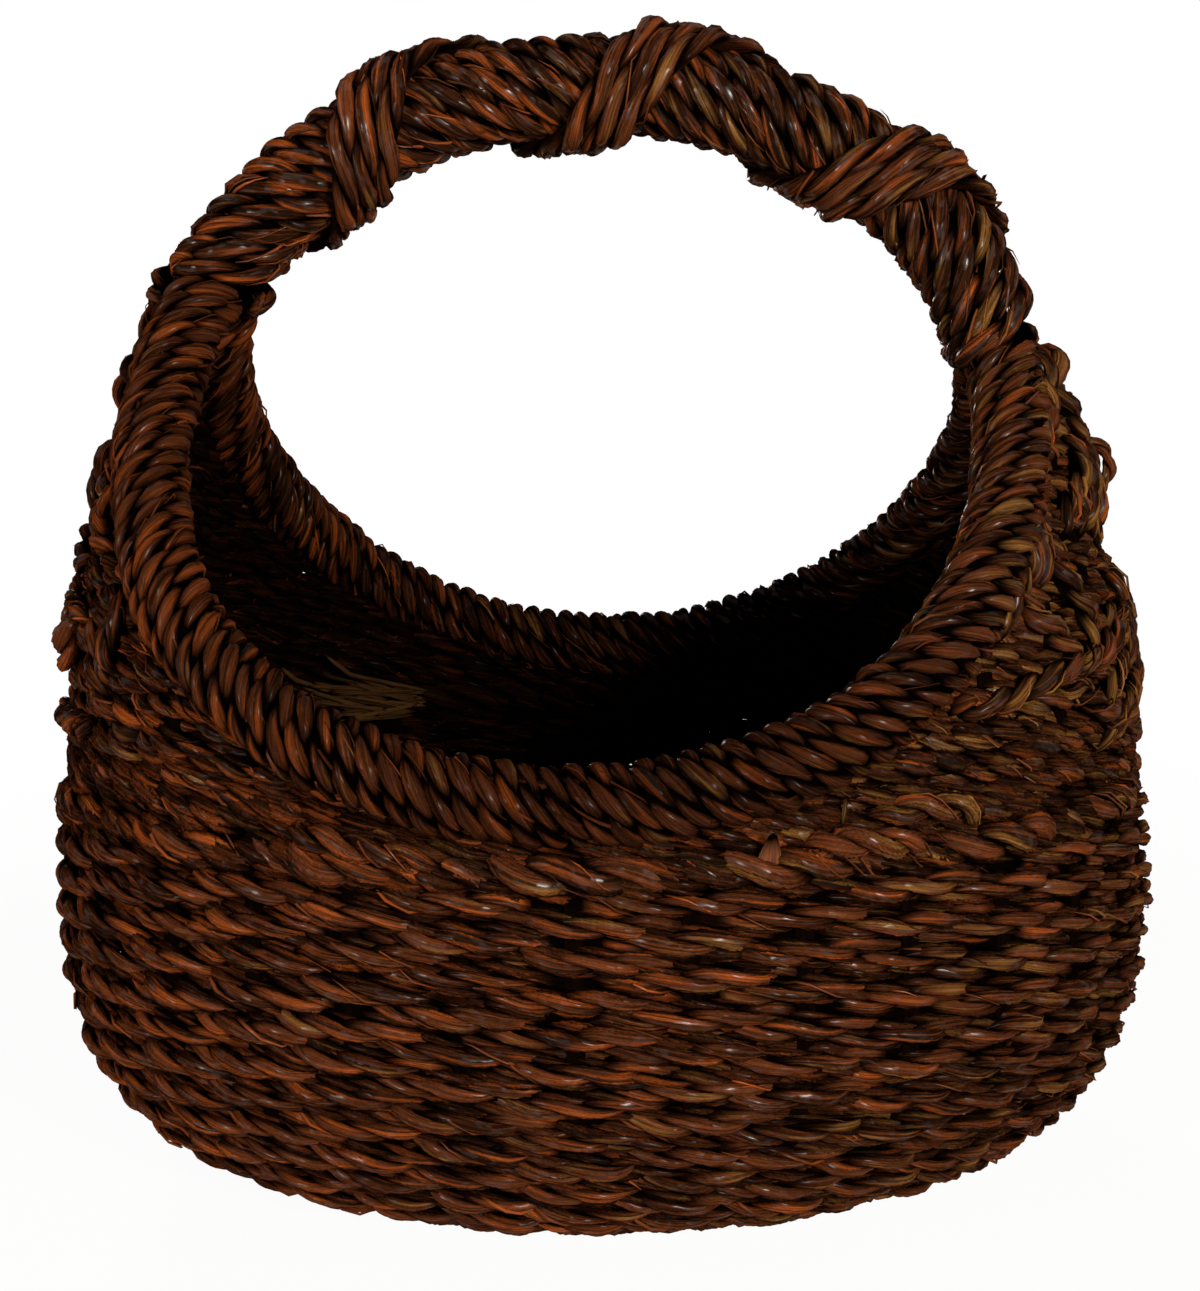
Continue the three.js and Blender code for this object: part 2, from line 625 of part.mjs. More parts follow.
// A stake climbs the wall from the base mat until an edge of it meets a wrapped hoop. It bends at each row, or at every
// other one above the belly, where the wall is nearly straight.
function stake(i) {
  const angle = angleAtLength(stakeLength(i));
  const along = wallPoint(angle + TURN_STEP, BELLY_Z).sub(wallPoint(angle - TURN_STEP, BELLY_Z)).normalize();
  const edges = [-STAKE_WIDTH / 2, STAKE_WIDTH / 2];
  const clear = (point) =>
    edges.every((edge) => distanceToHoops(point.clone().addScaledVector(along, edge)) > STAKE_STOP);
  const bends = ROW_LEVELS.filter((z, k) => z < BELLY_Z || k % 2 === 0);
  const points = bends.map((z) => wallPoint(angle, z));
  const highest = junctionHeight(Math.cos(angle) < 0 ? LEFT : RIGHT) - GORE_PITCH;
  let next = BORDER_LEVELS[1];
  while (next < highest && clear(wallPoint(angle, next))) {
    points.push(wallPoint(angle, next));
    next += GORE_PITCH;
  }
  const head = wallPoint(angle, next);
  let share = 0;
  for (let step = 0.5; step > STAKE_END_TOLERANCE; step /= 2) {
    if (clear(points.at(-1).clone().lerp(head, share + step))) share += step;
  }
  points.push(points.at(-1).clone().lerp(head, Math.max(share, STAKE_END_TOLERANCE)));
  const rings = points.map((point, k) => {
    const before = points[Math.max(0, k - 1)];
    const after = points[Math.min(points.length - 1, k + 1)];
    const out = along.clone().cross(after.clone().sub(before)).normalize();
    const corner = (side, face) =>
      point
        .clone()
        .addScaledVector(along, (side * STAKE_WIDTH) / 2)
        .addScaledVector(out, (face * STAKE_THICK) / 2);
    return [corner(1, 1), corner(-1, 1), corner(-1, -1), corner(1, -1)];
  });
  return solidThroughRings(rings);
}

function addStakes() {
  for (let i = 0; i < STAKE_COUNT; i++) {
    addPiece(`stake_${String(i + 1).padStart(2, "0")}`, stake(i), bareCane);
  }
}

// Oval mat of coiled rope that the stakes start from, flat underneath
function addBaseMat() {
  const halfWidth = BASE_HALF_WIDTH - CLEARANCE;
  const halfDepth = BASE_HALF_DEPTH - CLEARANCE;
  const coil = halfDepth / MAT_COILS;
  const profile = [
    { inset: MAT_EDGE_RADIUS, z: 0 },
    { inset: 0, z: MAT_EDGE_RADIUS },
    { inset: 0, z: MAT_THICK - MAT_EDGE_RADIUS },
  ];
  for (let k = 0; k < MAT_COILS; k++) {
    if (k > 0) profile.push({ inset: k * coil, z: MAT_THICK - MAT_COIL_DEPTH });
    profile.push({ inset: (k + 0.5) * coil, z: MAT_THICK });
  }
  const rings = profile.map(({ inset, z }) =>
    Array.from({ length: MAT_STEPS }, (_, j) => {
      const angle = (2 * Math.PI * j) / MAT_STEPS;
      return new THREE.Vector3((halfWidth - inset) * Math.cos(angle), (halfDepth - inset) * Math.sin(angle), z);
    }),
  );
  addPiece("base_mat", solidThroughRings(rings), rowRope);
}

addHoops();
addHoopWraps();
addHandle();
addRows();
addGores();
addStakes();
addBaseMat();

export default basket;
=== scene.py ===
import logging
import math
from collections.abc import Mapping, Sequence
from dataclasses import dataclass, field, replace
from enum import Enum
from typing import Optional, Union

import bpy
import numpy as np
from mathutils import Matrix, Vector


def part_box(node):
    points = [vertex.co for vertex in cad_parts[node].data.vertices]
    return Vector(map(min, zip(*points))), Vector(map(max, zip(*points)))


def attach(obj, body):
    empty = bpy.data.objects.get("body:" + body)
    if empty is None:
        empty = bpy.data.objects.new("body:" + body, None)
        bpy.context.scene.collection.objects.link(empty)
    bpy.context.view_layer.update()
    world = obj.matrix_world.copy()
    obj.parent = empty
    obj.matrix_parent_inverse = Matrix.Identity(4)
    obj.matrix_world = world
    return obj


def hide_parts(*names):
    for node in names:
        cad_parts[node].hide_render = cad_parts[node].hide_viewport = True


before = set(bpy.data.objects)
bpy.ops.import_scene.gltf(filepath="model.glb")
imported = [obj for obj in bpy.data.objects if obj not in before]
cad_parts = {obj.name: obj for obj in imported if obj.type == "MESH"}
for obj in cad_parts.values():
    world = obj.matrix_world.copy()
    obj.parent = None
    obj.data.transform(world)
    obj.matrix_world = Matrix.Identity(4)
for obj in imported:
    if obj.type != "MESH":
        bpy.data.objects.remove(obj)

Array = np.ndarray
Triple = tuple[float, float, float]
Colour = Triple
Range = tuple[float, float]

LOG = logging.getLogger("basket")
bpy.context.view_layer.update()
TURN = 2 * math.pi
LINE_SAMPLES = 4000  # points that a hoop or the wall's oval is measured by
MOST_OF_WIDTH = 0.995  # greatest share of the wall's half-width that a hoop may stand at
COURSE_STEP = 0.001  # distance between the points of a course
GRAIN_UNIT = 0.01  # length of rope in one unit of its grain
GRAIN_SPREAD = 40.0  # how far apart the grains of two strands may start


class Side(Enum):
    """Left and right of the basket, as the sign of X."""

    LEFT = -1
    RIGHT = 1


class Facing(Enum):
    """Which hoop of the pair, as the sign of Y, or the line midway between them."""

    FRONT = -1
    MIDDLE = 0
    BACK = 1


def unit(vectors: Array) -> Array:
    """Vectors scaled to a length of one."""
    return vectors / np.maximum(np.linalg.norm(vectors, axis=-1, keepdims=True), 1e-12)


def mix(low: Array, high: Array, share: Array) -> Array:
    """Value part of the way from low to high."""
    return low + (high - low) * share


def ease(share: Array) -> Array:
    """Share from 0 to 1, slow at both ends."""
    held = np.clip(share, 0, 1)
    return held * held * (3 - 2 * held)


def drift(length: Array, span: float, rng: np.random.Generator, closed: bool = False) -> Array:
    """Smooth random value from -1 to 1 along a rope.

    Args:
        length: distance along the rope of each sample.
        span: distance between two independent values.
        rng: source of the values.
        closed: whether the rope's end joins its start.

    Returns:
        One value per sample.
    """
    whole = float(length[-1])
    count = max(2, round(whole / span))
    knots = rng.uniform(-1, 1, count + 2)
    if closed:
        knots[count] = knots[0]
        knots[count + 1] = knots[1]
    place = length / whole * count
    knot = np.minimum(place.astype(int), count)
    return mix(knots[knot], knots[knot + 1], ease(place - knot))


@dataclass(frozen=True)
class HoopShape:
    """Course of the two bent hoops, in metres."""

    half_width: float = 0.098
    top_z: float = 0.2585
    rim_z: float = 0.107
    rim_reach: float = 0.095
    left_fork_z: float = 0.224
    right_fork_z: float = 0.204
    spread_ease: float = 0.9
    handle_gap: float = 0.006575
    bound_gap: float = 0.00991

    @property
    def centre_z(self) -> float:
        """Height of the hoops' middle."""
        return (self.top_z + self.rim_z) / 2

    @property
    def half_height(self) -> float:
        """Half of a hoop's height."""
        return (self.top_z - self.rim_z) / 2

    def spread(self, z: Array, left: Array) -> Array:
        """How far a hoop stands out from the middle of the basket.

        Args:
            z: heights.
            left: whether each place is on the left.

        Returns:
            Distances from the middle plane.
        """
        fork = np.where(left, self.left_fork_z, self.right_fork_z)
        below = np.clip((fork - z) / (fork - self.rim_z), 0, 1)
        return mix(self.handle_gap, self.rim_reach, ease(below**self.spread_ease))

    def half_width_at(self, z: Array) -> Array:
        """Distance of a hoop's arm from the middle, at a height."""
        level = np.clip((z - self.centre_z) / self.half_height, -1, 1)
        return self.half_width * np.sqrt(1 - level**2)

    def junction_z(self, side: Side) -> float:
        """Height where the binding of the two hoops ends.

        Args:
            side: side of the handle.

        Returns:
            The height.
        """
        fork = self.left_fork_z if side is Side.LEFT else self.right_fork_z
        heights = np.linspace(fork, self.rim_z, LINE_SAMPLES)
        spread = self.spread(heights, np.full(heights.shape, side is Side.LEFT))
        return float(heights[np.argmax(spread >= self.bound_gap)])


HOOPS = HoopShape()


class HoopLine:
    """Centreline of a hoop: from the handle's top down the left arm, along the rim, up the right arm."""

    def __init__(self, facing: Facing) -> None:
        """Measures the line.

        Args:
            facing: which hoop.
        """
        turn = np.linspace(0, TURN, LINE_SAMPLES + 1)
        x = -HOOPS.half_width * np.sin(turn)
        z = HOOPS.centre_z + HOOPS.half_height * np.cos(turn)
        y = facing.value * HOOPS.spread(z, x < 0)
        self.points = np.stack([x, y, z], axis=1)
        steps = np.linalg.norm(np.diff(self.points, axis=0), axis=1)
        self.lengths = np.concatenate([[0.0], np.cumsum(steps)])
        self.whole = float(self.lengths[-1])

    def length_to(self, z: float, side: Side) -> float:
        """Distance along the hoop to a height on one arm.

        Args:
            z: the height.
            side: side of the arm.

        Returns:
            The distance.
        """
        angle = math.acos((z - HOOPS.centre_z) / HOOPS.half_height)
        turn = angle if side is Side.LEFT else TURN - angle
        return float(np.interp(turn / TURN * LINE_SAMPLES, np.arange(LINE_SAMPLES + 1), self.lengths))

    def point(self, length: Array) -> Array:
        """Points at distances along the hoop."""
        wrapped = np.mod(length, self.whole)
        return np.stack([np.interp(wrapped, self.lengths, self.points[:, k]) for k in range(3)], axis=-1)

    def frame(self, length: Array) -> tuple[Array, Array, Array]:
        """Places along the hoop.

        Args:
            length: distances along it.

        Returns:
            Points, directions away from the hoop's middle, and directions to the back.
        """
        reach = 0.001
        point = self.point(length)
        along = unit(self.point(length + reach) - self.point(length - reach))
        away = point - np.array([0, 0, HOOPS.centre_z])
        away[..., 1] = 0
        away = unit(away - along * np.sum(away * along, axis=-1, keepdims=True))
        return point, away, np.cross(along, away)


@dataclass(frozen=True)
class WallShape:
    """Middle surface of the woven wall, in metres."""

    belly_half_width: float = 0.132
    belly_half_depth: float = 0.100
    belly_z: float = 0.058
    base_half_width: float = 0.094
    base_half_depth: float = 0.070
    base_z: float = 0.0066
    rim_half_width: float = 0.128
    gore_top_half_width: float = 0.104
    gore_top_z: float = 0.205
    gore_taper: float = 1.35

    def size(self, z: Array, left: Array) -> tuple[Array, Array]:
        """Half-width and half-depth of the wall.

        Args:
            z: heights.
            left: whether each place is on the left.

        Returns:
            Half-widths and half-depths.
        """
        under = np.clip((self.belly_z - z) / (self.belly_z - self.base_z), 0, 1)
        round_in = np.sqrt(1 - under**2)
        low_width = mix(self.base_half_width, self.belly_half_width, round_in)
        low_depth = mix(self.base_half_depth, self.belly_half_depth, round_in)
        rise = np.clip((z - self.belly_z) / (HOOPS.rim_z - self.belly_z), 0, 1) ** 2
        mid_width = mix(self.belly_half_width, self.rim_half_width, rise)
        mid_depth = mix(self.belly_half_depth, HOOPS.rim_reach, rise)
        climb = np.maximum(0, (z - HOOPS.rim_z) / (self.gore_top_z - HOOPS.rim_z)) ** self.gore_taper
        top_width = mix(self.rim_half_width, self.gore_top_half_width, climb)
        hoop_share = np.clip(HOOPS.half_width_at(z) / top_width, 0, MOST_OF_WIDTH)
        top_depth = HOOPS.spread(z, left) / np.sqrt(1 - hoop_share**2)
        width = np.where(z <= self.belly_z, low_width, np.where(z <= HOOPS.rim_z, mid_width, top_width))
        depth = np.where(z <= self.belly_z, low_depth, np.where(z <= HOOPS.rim_z, mid_depth, top_depth))
        return width, depth

    def point(self, bearing: Array, z: Array) -> Array:
        """Points of the wall at bearings, anticlockwise from +X, and heights."""
        width, depth = self.size(z, np.cos(bearing) < 0)
        return np.stack([width * np.cos(bearing), depth * np.sin(bearing), z + 0 * bearing], axis=-1)

    def frame(self, bearing: Array, z: Array) -> tuple[Array, Array, Array]:
        """Places on the wall.

        Args:
            bearing: bearings, anticlockwise from +X.
            z: heights.

        Returns:
            Points, directions out of the wall, and directions up it.
        """
        reach = 0.002
        low = np.maximum(z - reach, self.base_z + reach / 10)
        rise = unit(self.point(bearing, z + reach) - self.point(bearing, low))
        along = unit(self.point(bearing + reach, z) - self.point(bearing - reach, z))
        return self.point(bearing, z), unit(np.cross(along, rise)), rise


WALL = WallShape()


class StakeRing:
    """Places of the upright stakes round the wall, at equal lengths of its widest oval."""

    def __init__(self, count: int) -> None:
        """Measures the oval.

        Args:
            count: number of stakes.
        """
        self.bearings = np.linspace(0, TURN, LINE_SAMPLES + 1)
        oval = WALL.point(self.bearings, np.full(LINE_SAMPLES + 1, WALL.belly_z))
        steps = np.linalg.norm(np.diff(oval, axis=0), axis=1)
        self.places = np.concatenate([[0.0], np.cumsum(steps)]) / steps.sum() * count

    def wave(self, bearing: Array) -> Array:
        """In-and-out course of a row.

        Args:
            bearing: bearings along the row.

        Returns:
            1 outside every other stake, -1 inside those between.
        """
        place = np.interp(np.mod(bearing, TURN), self.bearings, self.places)
        crest = 1.5
        return np.tanh(crest * np.cos(math.pi * (place - 0.5))) / math.tanh(crest)


@dataclass
class Course:
    """Course of a rope: its points, the directions away from what it lies on, and whether it is a ring.

    Painted brightness is the painted shade at each point, from 0 (darkest) to 1 (none), where some is
    painted.
    """

    points: Array
    away: Array
    closed: bool = False
    painted_brightness: Optional[Array] = None

    def measured(self, step: float) -> tuple[Array, "Course"]:
        """The course again in even steps.

        Args:
            step: wanted distance between points.

        Returns:
            Distance of each point along the course, and the course.
        """
        painted_brightness = np.ones(len(self.points)) if self.painted_brightness is None else self.painted_brightness
        columns = np.column_stack([self.points, self.away, painted_brightness])
        if self.closed:
            columns = np.concatenate([columns, columns[:1]])
        passed = np.concatenate([[0.0], np.cumsum(np.linalg.norm(np.diff(columns[:, :3], axis=0), axis=1))])
        count = max(8, round(passed[-1] / step))
        length = np.linspace(0, passed[-1], count + 1)
        even = np.stack([np.interp(length, passed, column) for column in columns.T], axis=-1)
        return length, Course(even[:, :3], unit(even[:, 3:6]), self.closed, even[:, 6])

    def rounded(self, step: float, reach: float) -> "Course":
        """The course with its corners rounded off.

        Args:
            step: distance between its new points.
            reach: length over which points are averaged.

        Returns:
            The rounded course.
        """
        _, even = self.measured(step)
        half = max(1, round(reach / step / 2))
        kernel = np.hanning(2 * half + 3)[1:-1]
        kernel /= kernel.sum()
        columns = []
        for values in (even.points, even.away):
            padded = np.pad(values, ((half, half), (0, 0)), mode="edge")
            smooth = [np.convolve(padded[:, k], kernel, mode="valid") for k in range(3)]
            columns.append(np.stack(smooth, axis=-1))
        return Course(columns[0], unit(columns[1]), self.closed)

    def wandering(self, rng: np.random.Generator, sideways: float, outward: float, span: float) -> "Course":
        """The course, laid by an uneven hand.

        Args:
            rng: source of the unevenness.
            sideways: how far it strays along what it lies on.
            outward: how far it strays away from it.
            span: length over which it strays.

        Returns:
            The uneven course.
        """
        length, even = self.measured(COURSE_STEP)
        away, across = even.directions()
        stray = sideways * drift(length, span, rng)[:, None] * across
        lift = outward * drift(length, span, rng)[:, None] * away
        return Course(even.points + stray + lift, even.away, self.closed, even.painted_brightness)

    def directions(self) -> tuple[Array, Array]:
        """Directions across the course.

        Returns:
            Directions away from what it lies on, and sideways.
        """
        if self.closed:
            along = unit(np.roll(self.points[:-1], -1, axis=0) - np.roll(self.points[:-1], 1, axis=0))
            along = np.concatenate([along, along[:1]])
        else:
            along = unit(np.gradient(self.points, axis=0))
        away = unit(self.away - along * np.sum(self.away * along, axis=-1, keepdims=True))
        return away, np.cross(along, away)


@dataclass(frozen=True)
class Rope:
    """Make-up of a twisted rope, in metres. A lay under 0 is a left-handed twist."""

    height: float
    thick: float
    lay: float
    plies: int = 2
    step: float = 0.0012
    sides: int = 12
    uneven: float = 0.07
    blunt: float = 0.004
    frizz: float = 90.0
    # Painted shade: how dark the rope's inner side and flanks are painted, from 0 to 1.
    inside_painted_shade: float = 0.0
    # Painted shade: points of a ply nearer the rope's middle than this share of its radius are painted in
    # full groove shade.
    valley: float = 0.22

    @property
    def ply_offset(self) -> float:
        """Distance of a ply's middle from the rope's, as a share of the rope's radius."""
        return {1: 0.0, 2: 0.46}.get(self.plies, 0.52)

    @property
    def ply_size(self) -> tuple[float, float]:
        """Half-sizes of a ply out from the rope's middle and round it, as shares of the rope's radius."""
        return {1: (1.0, 1.0), 2: (0.54, 0.64)}.get(self.plies, (0.48, 0.56))


@dataclass(frozen=True)
class Handwork:
    """How unevenly ropes are twisted: lengths in metres, and shares of a rope's unevenness or tone."""

    swell_span: float = 0.014
    ply_span: float = 0.009
    ply_share: float = 0.8
    slack: float = 0.5
    coarse_lobes: float = 0.09
    fine_lobes: float = 0.07
    middle_tone: float = 0.5
    ply_tone: float = 0.3
    tone_drift: float = 0.35
    tone_span: float = 0.05
    # Painted shade: valley_rise is how quickly the painted groove shade gives way outwards; face_from and
    # face_rise set where the painted shade on a rope's inner side and flanks ends.
    valley_rise: float = 0.6
    face_from: float = 0.05
    face_rise: float = 0.65


@dataclass(frozen=True)
class Fray:
    """Loose blades of grass on a rope: reach in lays, lift in radii of the rope, half-width in metres."""

    knots: int = 7
    sides: int = 3
    reach: Range = (0.5, 1.1)
    lift: Range = (0.0, 0.5)
    root_radius: float = 0.96
    half_width: Range = (0.00025, 0.0006)
    tip: float = 0.02
    tone: Range = (0.3, 1.0)
    # Painted shade: where a blade turned inwards starts to take the rope's painted inside shade.
    face_from: float = -0.1
    face_rise: float = 0.7


HANDWORK = Handwork()
FRAY = Fray()


class RopeMesh:
    """Mesh of one or more twisted ropes, with what their finish needs to know at each point."""

    def __init__(self, name: str, seed: int) -> None:
        """Starts an empty mesh.

        Args:
            name: name of the piece.
            seed: seed of its unevenness.
        """
        self.name = name
        self.rng = np.random.default_rng(seed)
        self.points: list[Array] = []
        self.faces: list[Array] = []
        self.strand: list[Array] = []
        self.tone: list[Array] = []
        # Painted light of each point: 1 where no shade is painted, down to 0 in full painted shade.
        self.painted_light: list[Array] = []
        self.count = 0

    def add(self, course: Course, rope: Rope, shade: float = 0.0) -> None:
        """Adds a rope.

        Args:
            course: where it runs.
            rope: its make-up.
            shade: how much lighter than the others it is.
        """
        length, even = course.measured(rope.step)
        away, across = even.directions()
        whole = float(length[-1])
        twists = whole / rope.lay
        if course.closed:
            twists = max(1, round(twists))
        swell = 1 + rope.uneven * drift(length, HANDWORK.swell_span, self.rng, course.closed)
        slack = HANDWORK.slack * drift(length, 2 * abs(rope.lay), self.rng, course.closed)
        if not course.closed:
            to_end = np.minimum(length, whole - length)
            swell = swell * np.sqrt(np.clip(to_end / rope.blunt, 0, 1))
        start = self.rng.uniform(0, TURN)
        for ply in range(rope.plies):
            spin = start + TURN * (ply / rope.plies + twists * length / whole) + slack
            self._add_ply(even, (away, across), length, spin, swell, rope, shade)
        self._add_frizz(even, (away, across), length, rope)

    def _add_frizz(
        self, course: Course, directions: tuple[Array, Array], length: Array, rope: Rope
    ) -> None:
        """Adds loose blades of grass that lie on a rope and lift off it at their tips.

        Args:
            course: where the rope runs, in even steps.
            directions: directions across the rope at each step.
            length: distance along the rope at each step.
            rope: the rope's make-up.
        """
        rng = self.rng
        knots = FRAY.knots
        sides = FRAY.sides
        whole = float(length[-1])
        count = round(whole * rope.frizz)
        if not count:
            return
        along = np.linspace(0, 1, knots)[None, :]
        reach = rng.uniform(*FRAY.reach, (count, 1)) * rope.lay * rng.choice([-1, 1], (count, 1))
        place = np.clip(rng.uniform(0, whole, (count, 1)) + reach * along, 0, whole)
        angle = rng.uniform(0, TURN, (count, 1)) + TURN * (place - place[:, :1]) / rope.lay
        lift = rng.uniform(*FRAY.lift, (count, 1)) ** 2
        radius = FRAY.root_radius + lift * along**2
        taper = np.sqrt(np.clip(1 + FRAY.tip - along**2, 0, 1))
        size = rng.uniform(*FRAY.half_width, (count, 1)) * taper
        away, across = directions
        middle = np.stack([np.interp(place, length, course.points[:, k]) for k in range(3)], axis=-1)
        outward = np.stack([np.interp(place, length, away[:, k]) for k in range(3)], axis=-1)
        sideways = np.stack([np.interp(place, length, across[:, k]) for k in range(3)], axis=-1)
        from_wall = radius * np.cos(angle) * rope.thick / 2
        along_wall = radius * np.sin(angle) * rope.height / 2
        centre = middle + from_wall[..., None] * outward + along_wall[..., None] * sideways
        ring = np.arange(sides) * TURN / sides
        points = (
            centre[:, :, None, :]
            + (size[..., None] * np.cos(ring))[..., None] * outward[:, :, None, :]
            + (size[..., None] * np.sin(ring))[..., None] * sideways[:, :, None, :]
        )
        tone = np.repeat(rng.uniform(*FRAY.tone, count), knots * sides)
        for blade in range(count):
            self.points.append(points[blade].reshape(-1, 3))
            self._add_faces(knots, sides, False)
        flat = np.zeros((count, knots))
        strand = np.stack([flat, flat, place / GRAIN_UNIT], axis=-1)
        strand = strand + rng.uniform(-GRAIN_SPREAD, GRAIN_SPREAD, (count, 1, 3))
        self.strand.append(np.repeat(strand.reshape(-1, 3), sides, axis=0))
        self.tone.append(tone)
        # Painted shade: blades on a rope's inner side and flanks are painted dark, and take the course's
        # painted brightness.
        facing = np.clip((np.cos(angle) - FRAY.face_from) / FRAY.face_rise, 0, 1)
        painted_inside = rope.inside_painted_shade * (1 - facing)
        painted_brightness = np.interp(place, length, course.painted_brightness)
        self.painted_light.append(np.repeat(((1 - painted_inside) * painted_brightness).reshape(-1), sides))

    def _add_ply(
        self,
        course: Course,
        directions: tuple[Array, Array],
        length: Array,
        spin: Array,
        swell: Array,
        rope: Rope,
        shade: float,
    ) -> None:
        """Adds one ply of a rope.

        Args:
            course: where the rope runs, in even steps.
            directions: directions across the rope at each step.
            length: distance along the rope at each step.
            spin: angle of the ply round the rope at each step.
            swell: size of the rope at each step, as a share of its full size.
            rope: the rope's make-up.
            shade: how much lighter than the others the rope is.
        """
        rng = self.rng
        ring = np.arange(rope.sides) * TURN / rope.sides
        out_size, round_size = rope.ply_size
        uneven = HANDWORK.ply_share * rope.uneven
        plump = swell * (1 + uneven * drift(length, HANDWORK.ply_span, rng, course.closed))
        coarse = rng.uniform(0, TURN)
        fine = rng.uniform(0, TURN)
        lobes = (
            1
            + HANDWORK.coarse_lobes * np.cos(3 * ring[None, :] + coarse + 1.5 * spin[:, None])
            + HANDWORK.fine_lobes * np.cos(5 * ring[None, :] + fine - 2 * spin[:, None])
        )
        outward = rope.ply_offset * swell[:, None] + out_size * plump[:, None] * lobes * np.cos(ring)
        sideways = round_size * plump[:, None] * lobes * np.sin(ring)
        turn_cos = np.cos(spin)[:, None]
        turn_sin = np.sin(spin)[:, None]
        from_wall = outward * turn_cos - sideways * turn_sin
        along_wall = outward * turn_sin + sideways * turn_cos
        away, across = directions
        points = (
            course.points[:, None, :]
            + (from_wall * rope.thick / 2)[..., None] * away[:, None, :]
            + (along_wall * rope.height / 2)[..., None] * across[:, None, :]
        )
        rings = len(length) - 1 if course.closed else len(length)
        fibre_turn = ring[None, :] + spin[:, None]
        passed = np.repeat((length / GRAIN_UNIT)[:, None], rope.sides, axis=1)
        strand = np.stack([np.cos(fibre_turn), np.sin(fibre_turn), passed], axis=-1)
        strand = strand + rng.uniform(-GRAIN_SPREAD, GRAIN_SPREAD, 3)
        tone = HANDWORK.middle_tone + shade + HANDWORK.ply_tone * rng.uniform(-1, 1)
        tone = tone + HANDWORK.tone_drift * drift(length, HANDWORK.tone_span, rng, course.closed)
        # Painted shade: dark in the grooves between plies, on the rope's inner side and flanks, and where
        # the course is painted darker.
        painted_light = np.clip((np.hypot(from_wall, along_wall) - rope.valley) / HANDWORK.valley_rise, 0, 1)
        facing = np.clip((from_wall - HANDWORK.face_from) / HANDWORK.face_rise, 0, 1)
        painted_light = painted_light * (1 - rope.inside_painted_shade * (1 - facing)) * course.painted_brightness[:, None]
        self.points.append(points[:rings].reshape(-1, 3))
        self.strand.append(strand[:rings].reshape(-1, 3))
        self.tone.append(np.repeat(np.clip(tone, 0, 1)[:rings], rope.sides))
        self.painted_light.append(painted_light[:rings].reshape(-1))
        self._add_faces(rings, rope.sides, course.closed)

    def _add_faces(self, rings: int, sides: int, closed: bool) -> None:
        """Adds the faces of a tube whose points were added last.

        Args:
            rings: number of rings of points.
            sides: points on each ring.
            closed: whether the last ring joins the first.
        """
        spans = rings if closed else rings - 1
        here = (np.arange(spans) * sides)[:, None]
        there = ((np.arange(spans) + 1) % rings * sides)[:, None]
        low = np.arange(sides)[None, :]
        high = (np.arange(sides) + 1)[None, :] % sides
        quads = np.stack([here + low, here + high, there + high, there + low], axis=-1)
        self.faces.append(quads.reshape(-1, 4) + self.count)
        self.count += rings * sides

    def flatten_under(self, z: float) -> None:
        """Presses flat what lies under a height."""
        for points in self.points:
            points[:, 2] = np.maximum(points[:, 2], z)

    def piece(self) -> bpy.types.Object:
        """The finished mesh as an object.

        Returns:
            The object, linked to the scene.
        """
        points = np.concatenate(self.points).astype(np.float32)
        faces = np.concatenate(self.faces).astype(np.int32)
        mesh = bpy.data.meshes.new(self.name)
        mesh.vertices.add(len(points))
        mesh.vertices.foreach_set("co", points.ravel())
        mesh.loops.add(faces.size)
        mesh.loops.foreach_set("vertex_index", faces.ravel())
        mesh.polygons.add(len(faces))
        mesh.polygons.foreach_set("loop_start", np.arange(len(faces), dtype=np.int32) * 4)
        mesh.update(calc_edges=True)
        mesh.shade_smooth()
        for name, kind, key, values in (
            ("strand", "FLOAT_VECTOR", "vector", self.strand),
            ("tone", "FLOAT", "value", self.tone),
            ("painted_light", "FLOAT", "value", self.painted_light),
        ):
            stored = mesh.attributes.new(name, kind, "POINT")
            stored.data.foreach_set(key, np.concatenate(values).astype(np.float32).ravel())
        thing = bpy.data.objects.new(self.name, mesh)
        bpy.context.scene.collection.objects.link(thing)
        return thing


SocketValue = Union[float, Colour, tuple[float, ...], "Signal"]


class Signal:
    """Output socket of a shader node that can stand in arithmetic."""

    def __init__(self, graph: "Graph", socket: bpy.types.NodeSocket) -> None:
        """Wraps a socket.

        Args:
            graph: nodes that it belongs to.
            socket: the socket.
        """
        self.graph = graph
        self.socket = socket

    def _math(self, operation: str, first: SocketValue, second: SocketValue) -> "Signal":
        """Result of a Math node on two values."""
        return self.graph.node("ShaderNodeMath", {"operation": operation}, {0: first, 1: second})

    def __add__(self, other: SocketValue) -> "Signal":
        """Sum."""
        return self._math("ADD", self, other)

    def __radd__(self, other: SocketValue) -> "Signal":
        """Sum."""
        return self._math("ADD", other, self)

    def __sub__(self, other: SocketValue) -> "Signal":
        """Difference."""
        return self._math("SUBTRACT", self, other)

    def __rsub__(self, other: SocketValue) -> "Signal":
        """Difference."""
        return self._math("SUBTRACT", other, self)

    def __mul__(self, other: SocketValue) -> "Signal":
        """Product."""
        return self._math("MULTIPLY", self, other)

    def __rmul__(self, other: SocketValue) -> "Signal":
        """Product."""
        return self._math("MULTIPLY", other, self)

    def clamped(self) -> "Signal":
        """The value held between 0 and 1."""
        return self.graph.node("ShaderNodeClamp", {}, {"Value": self})


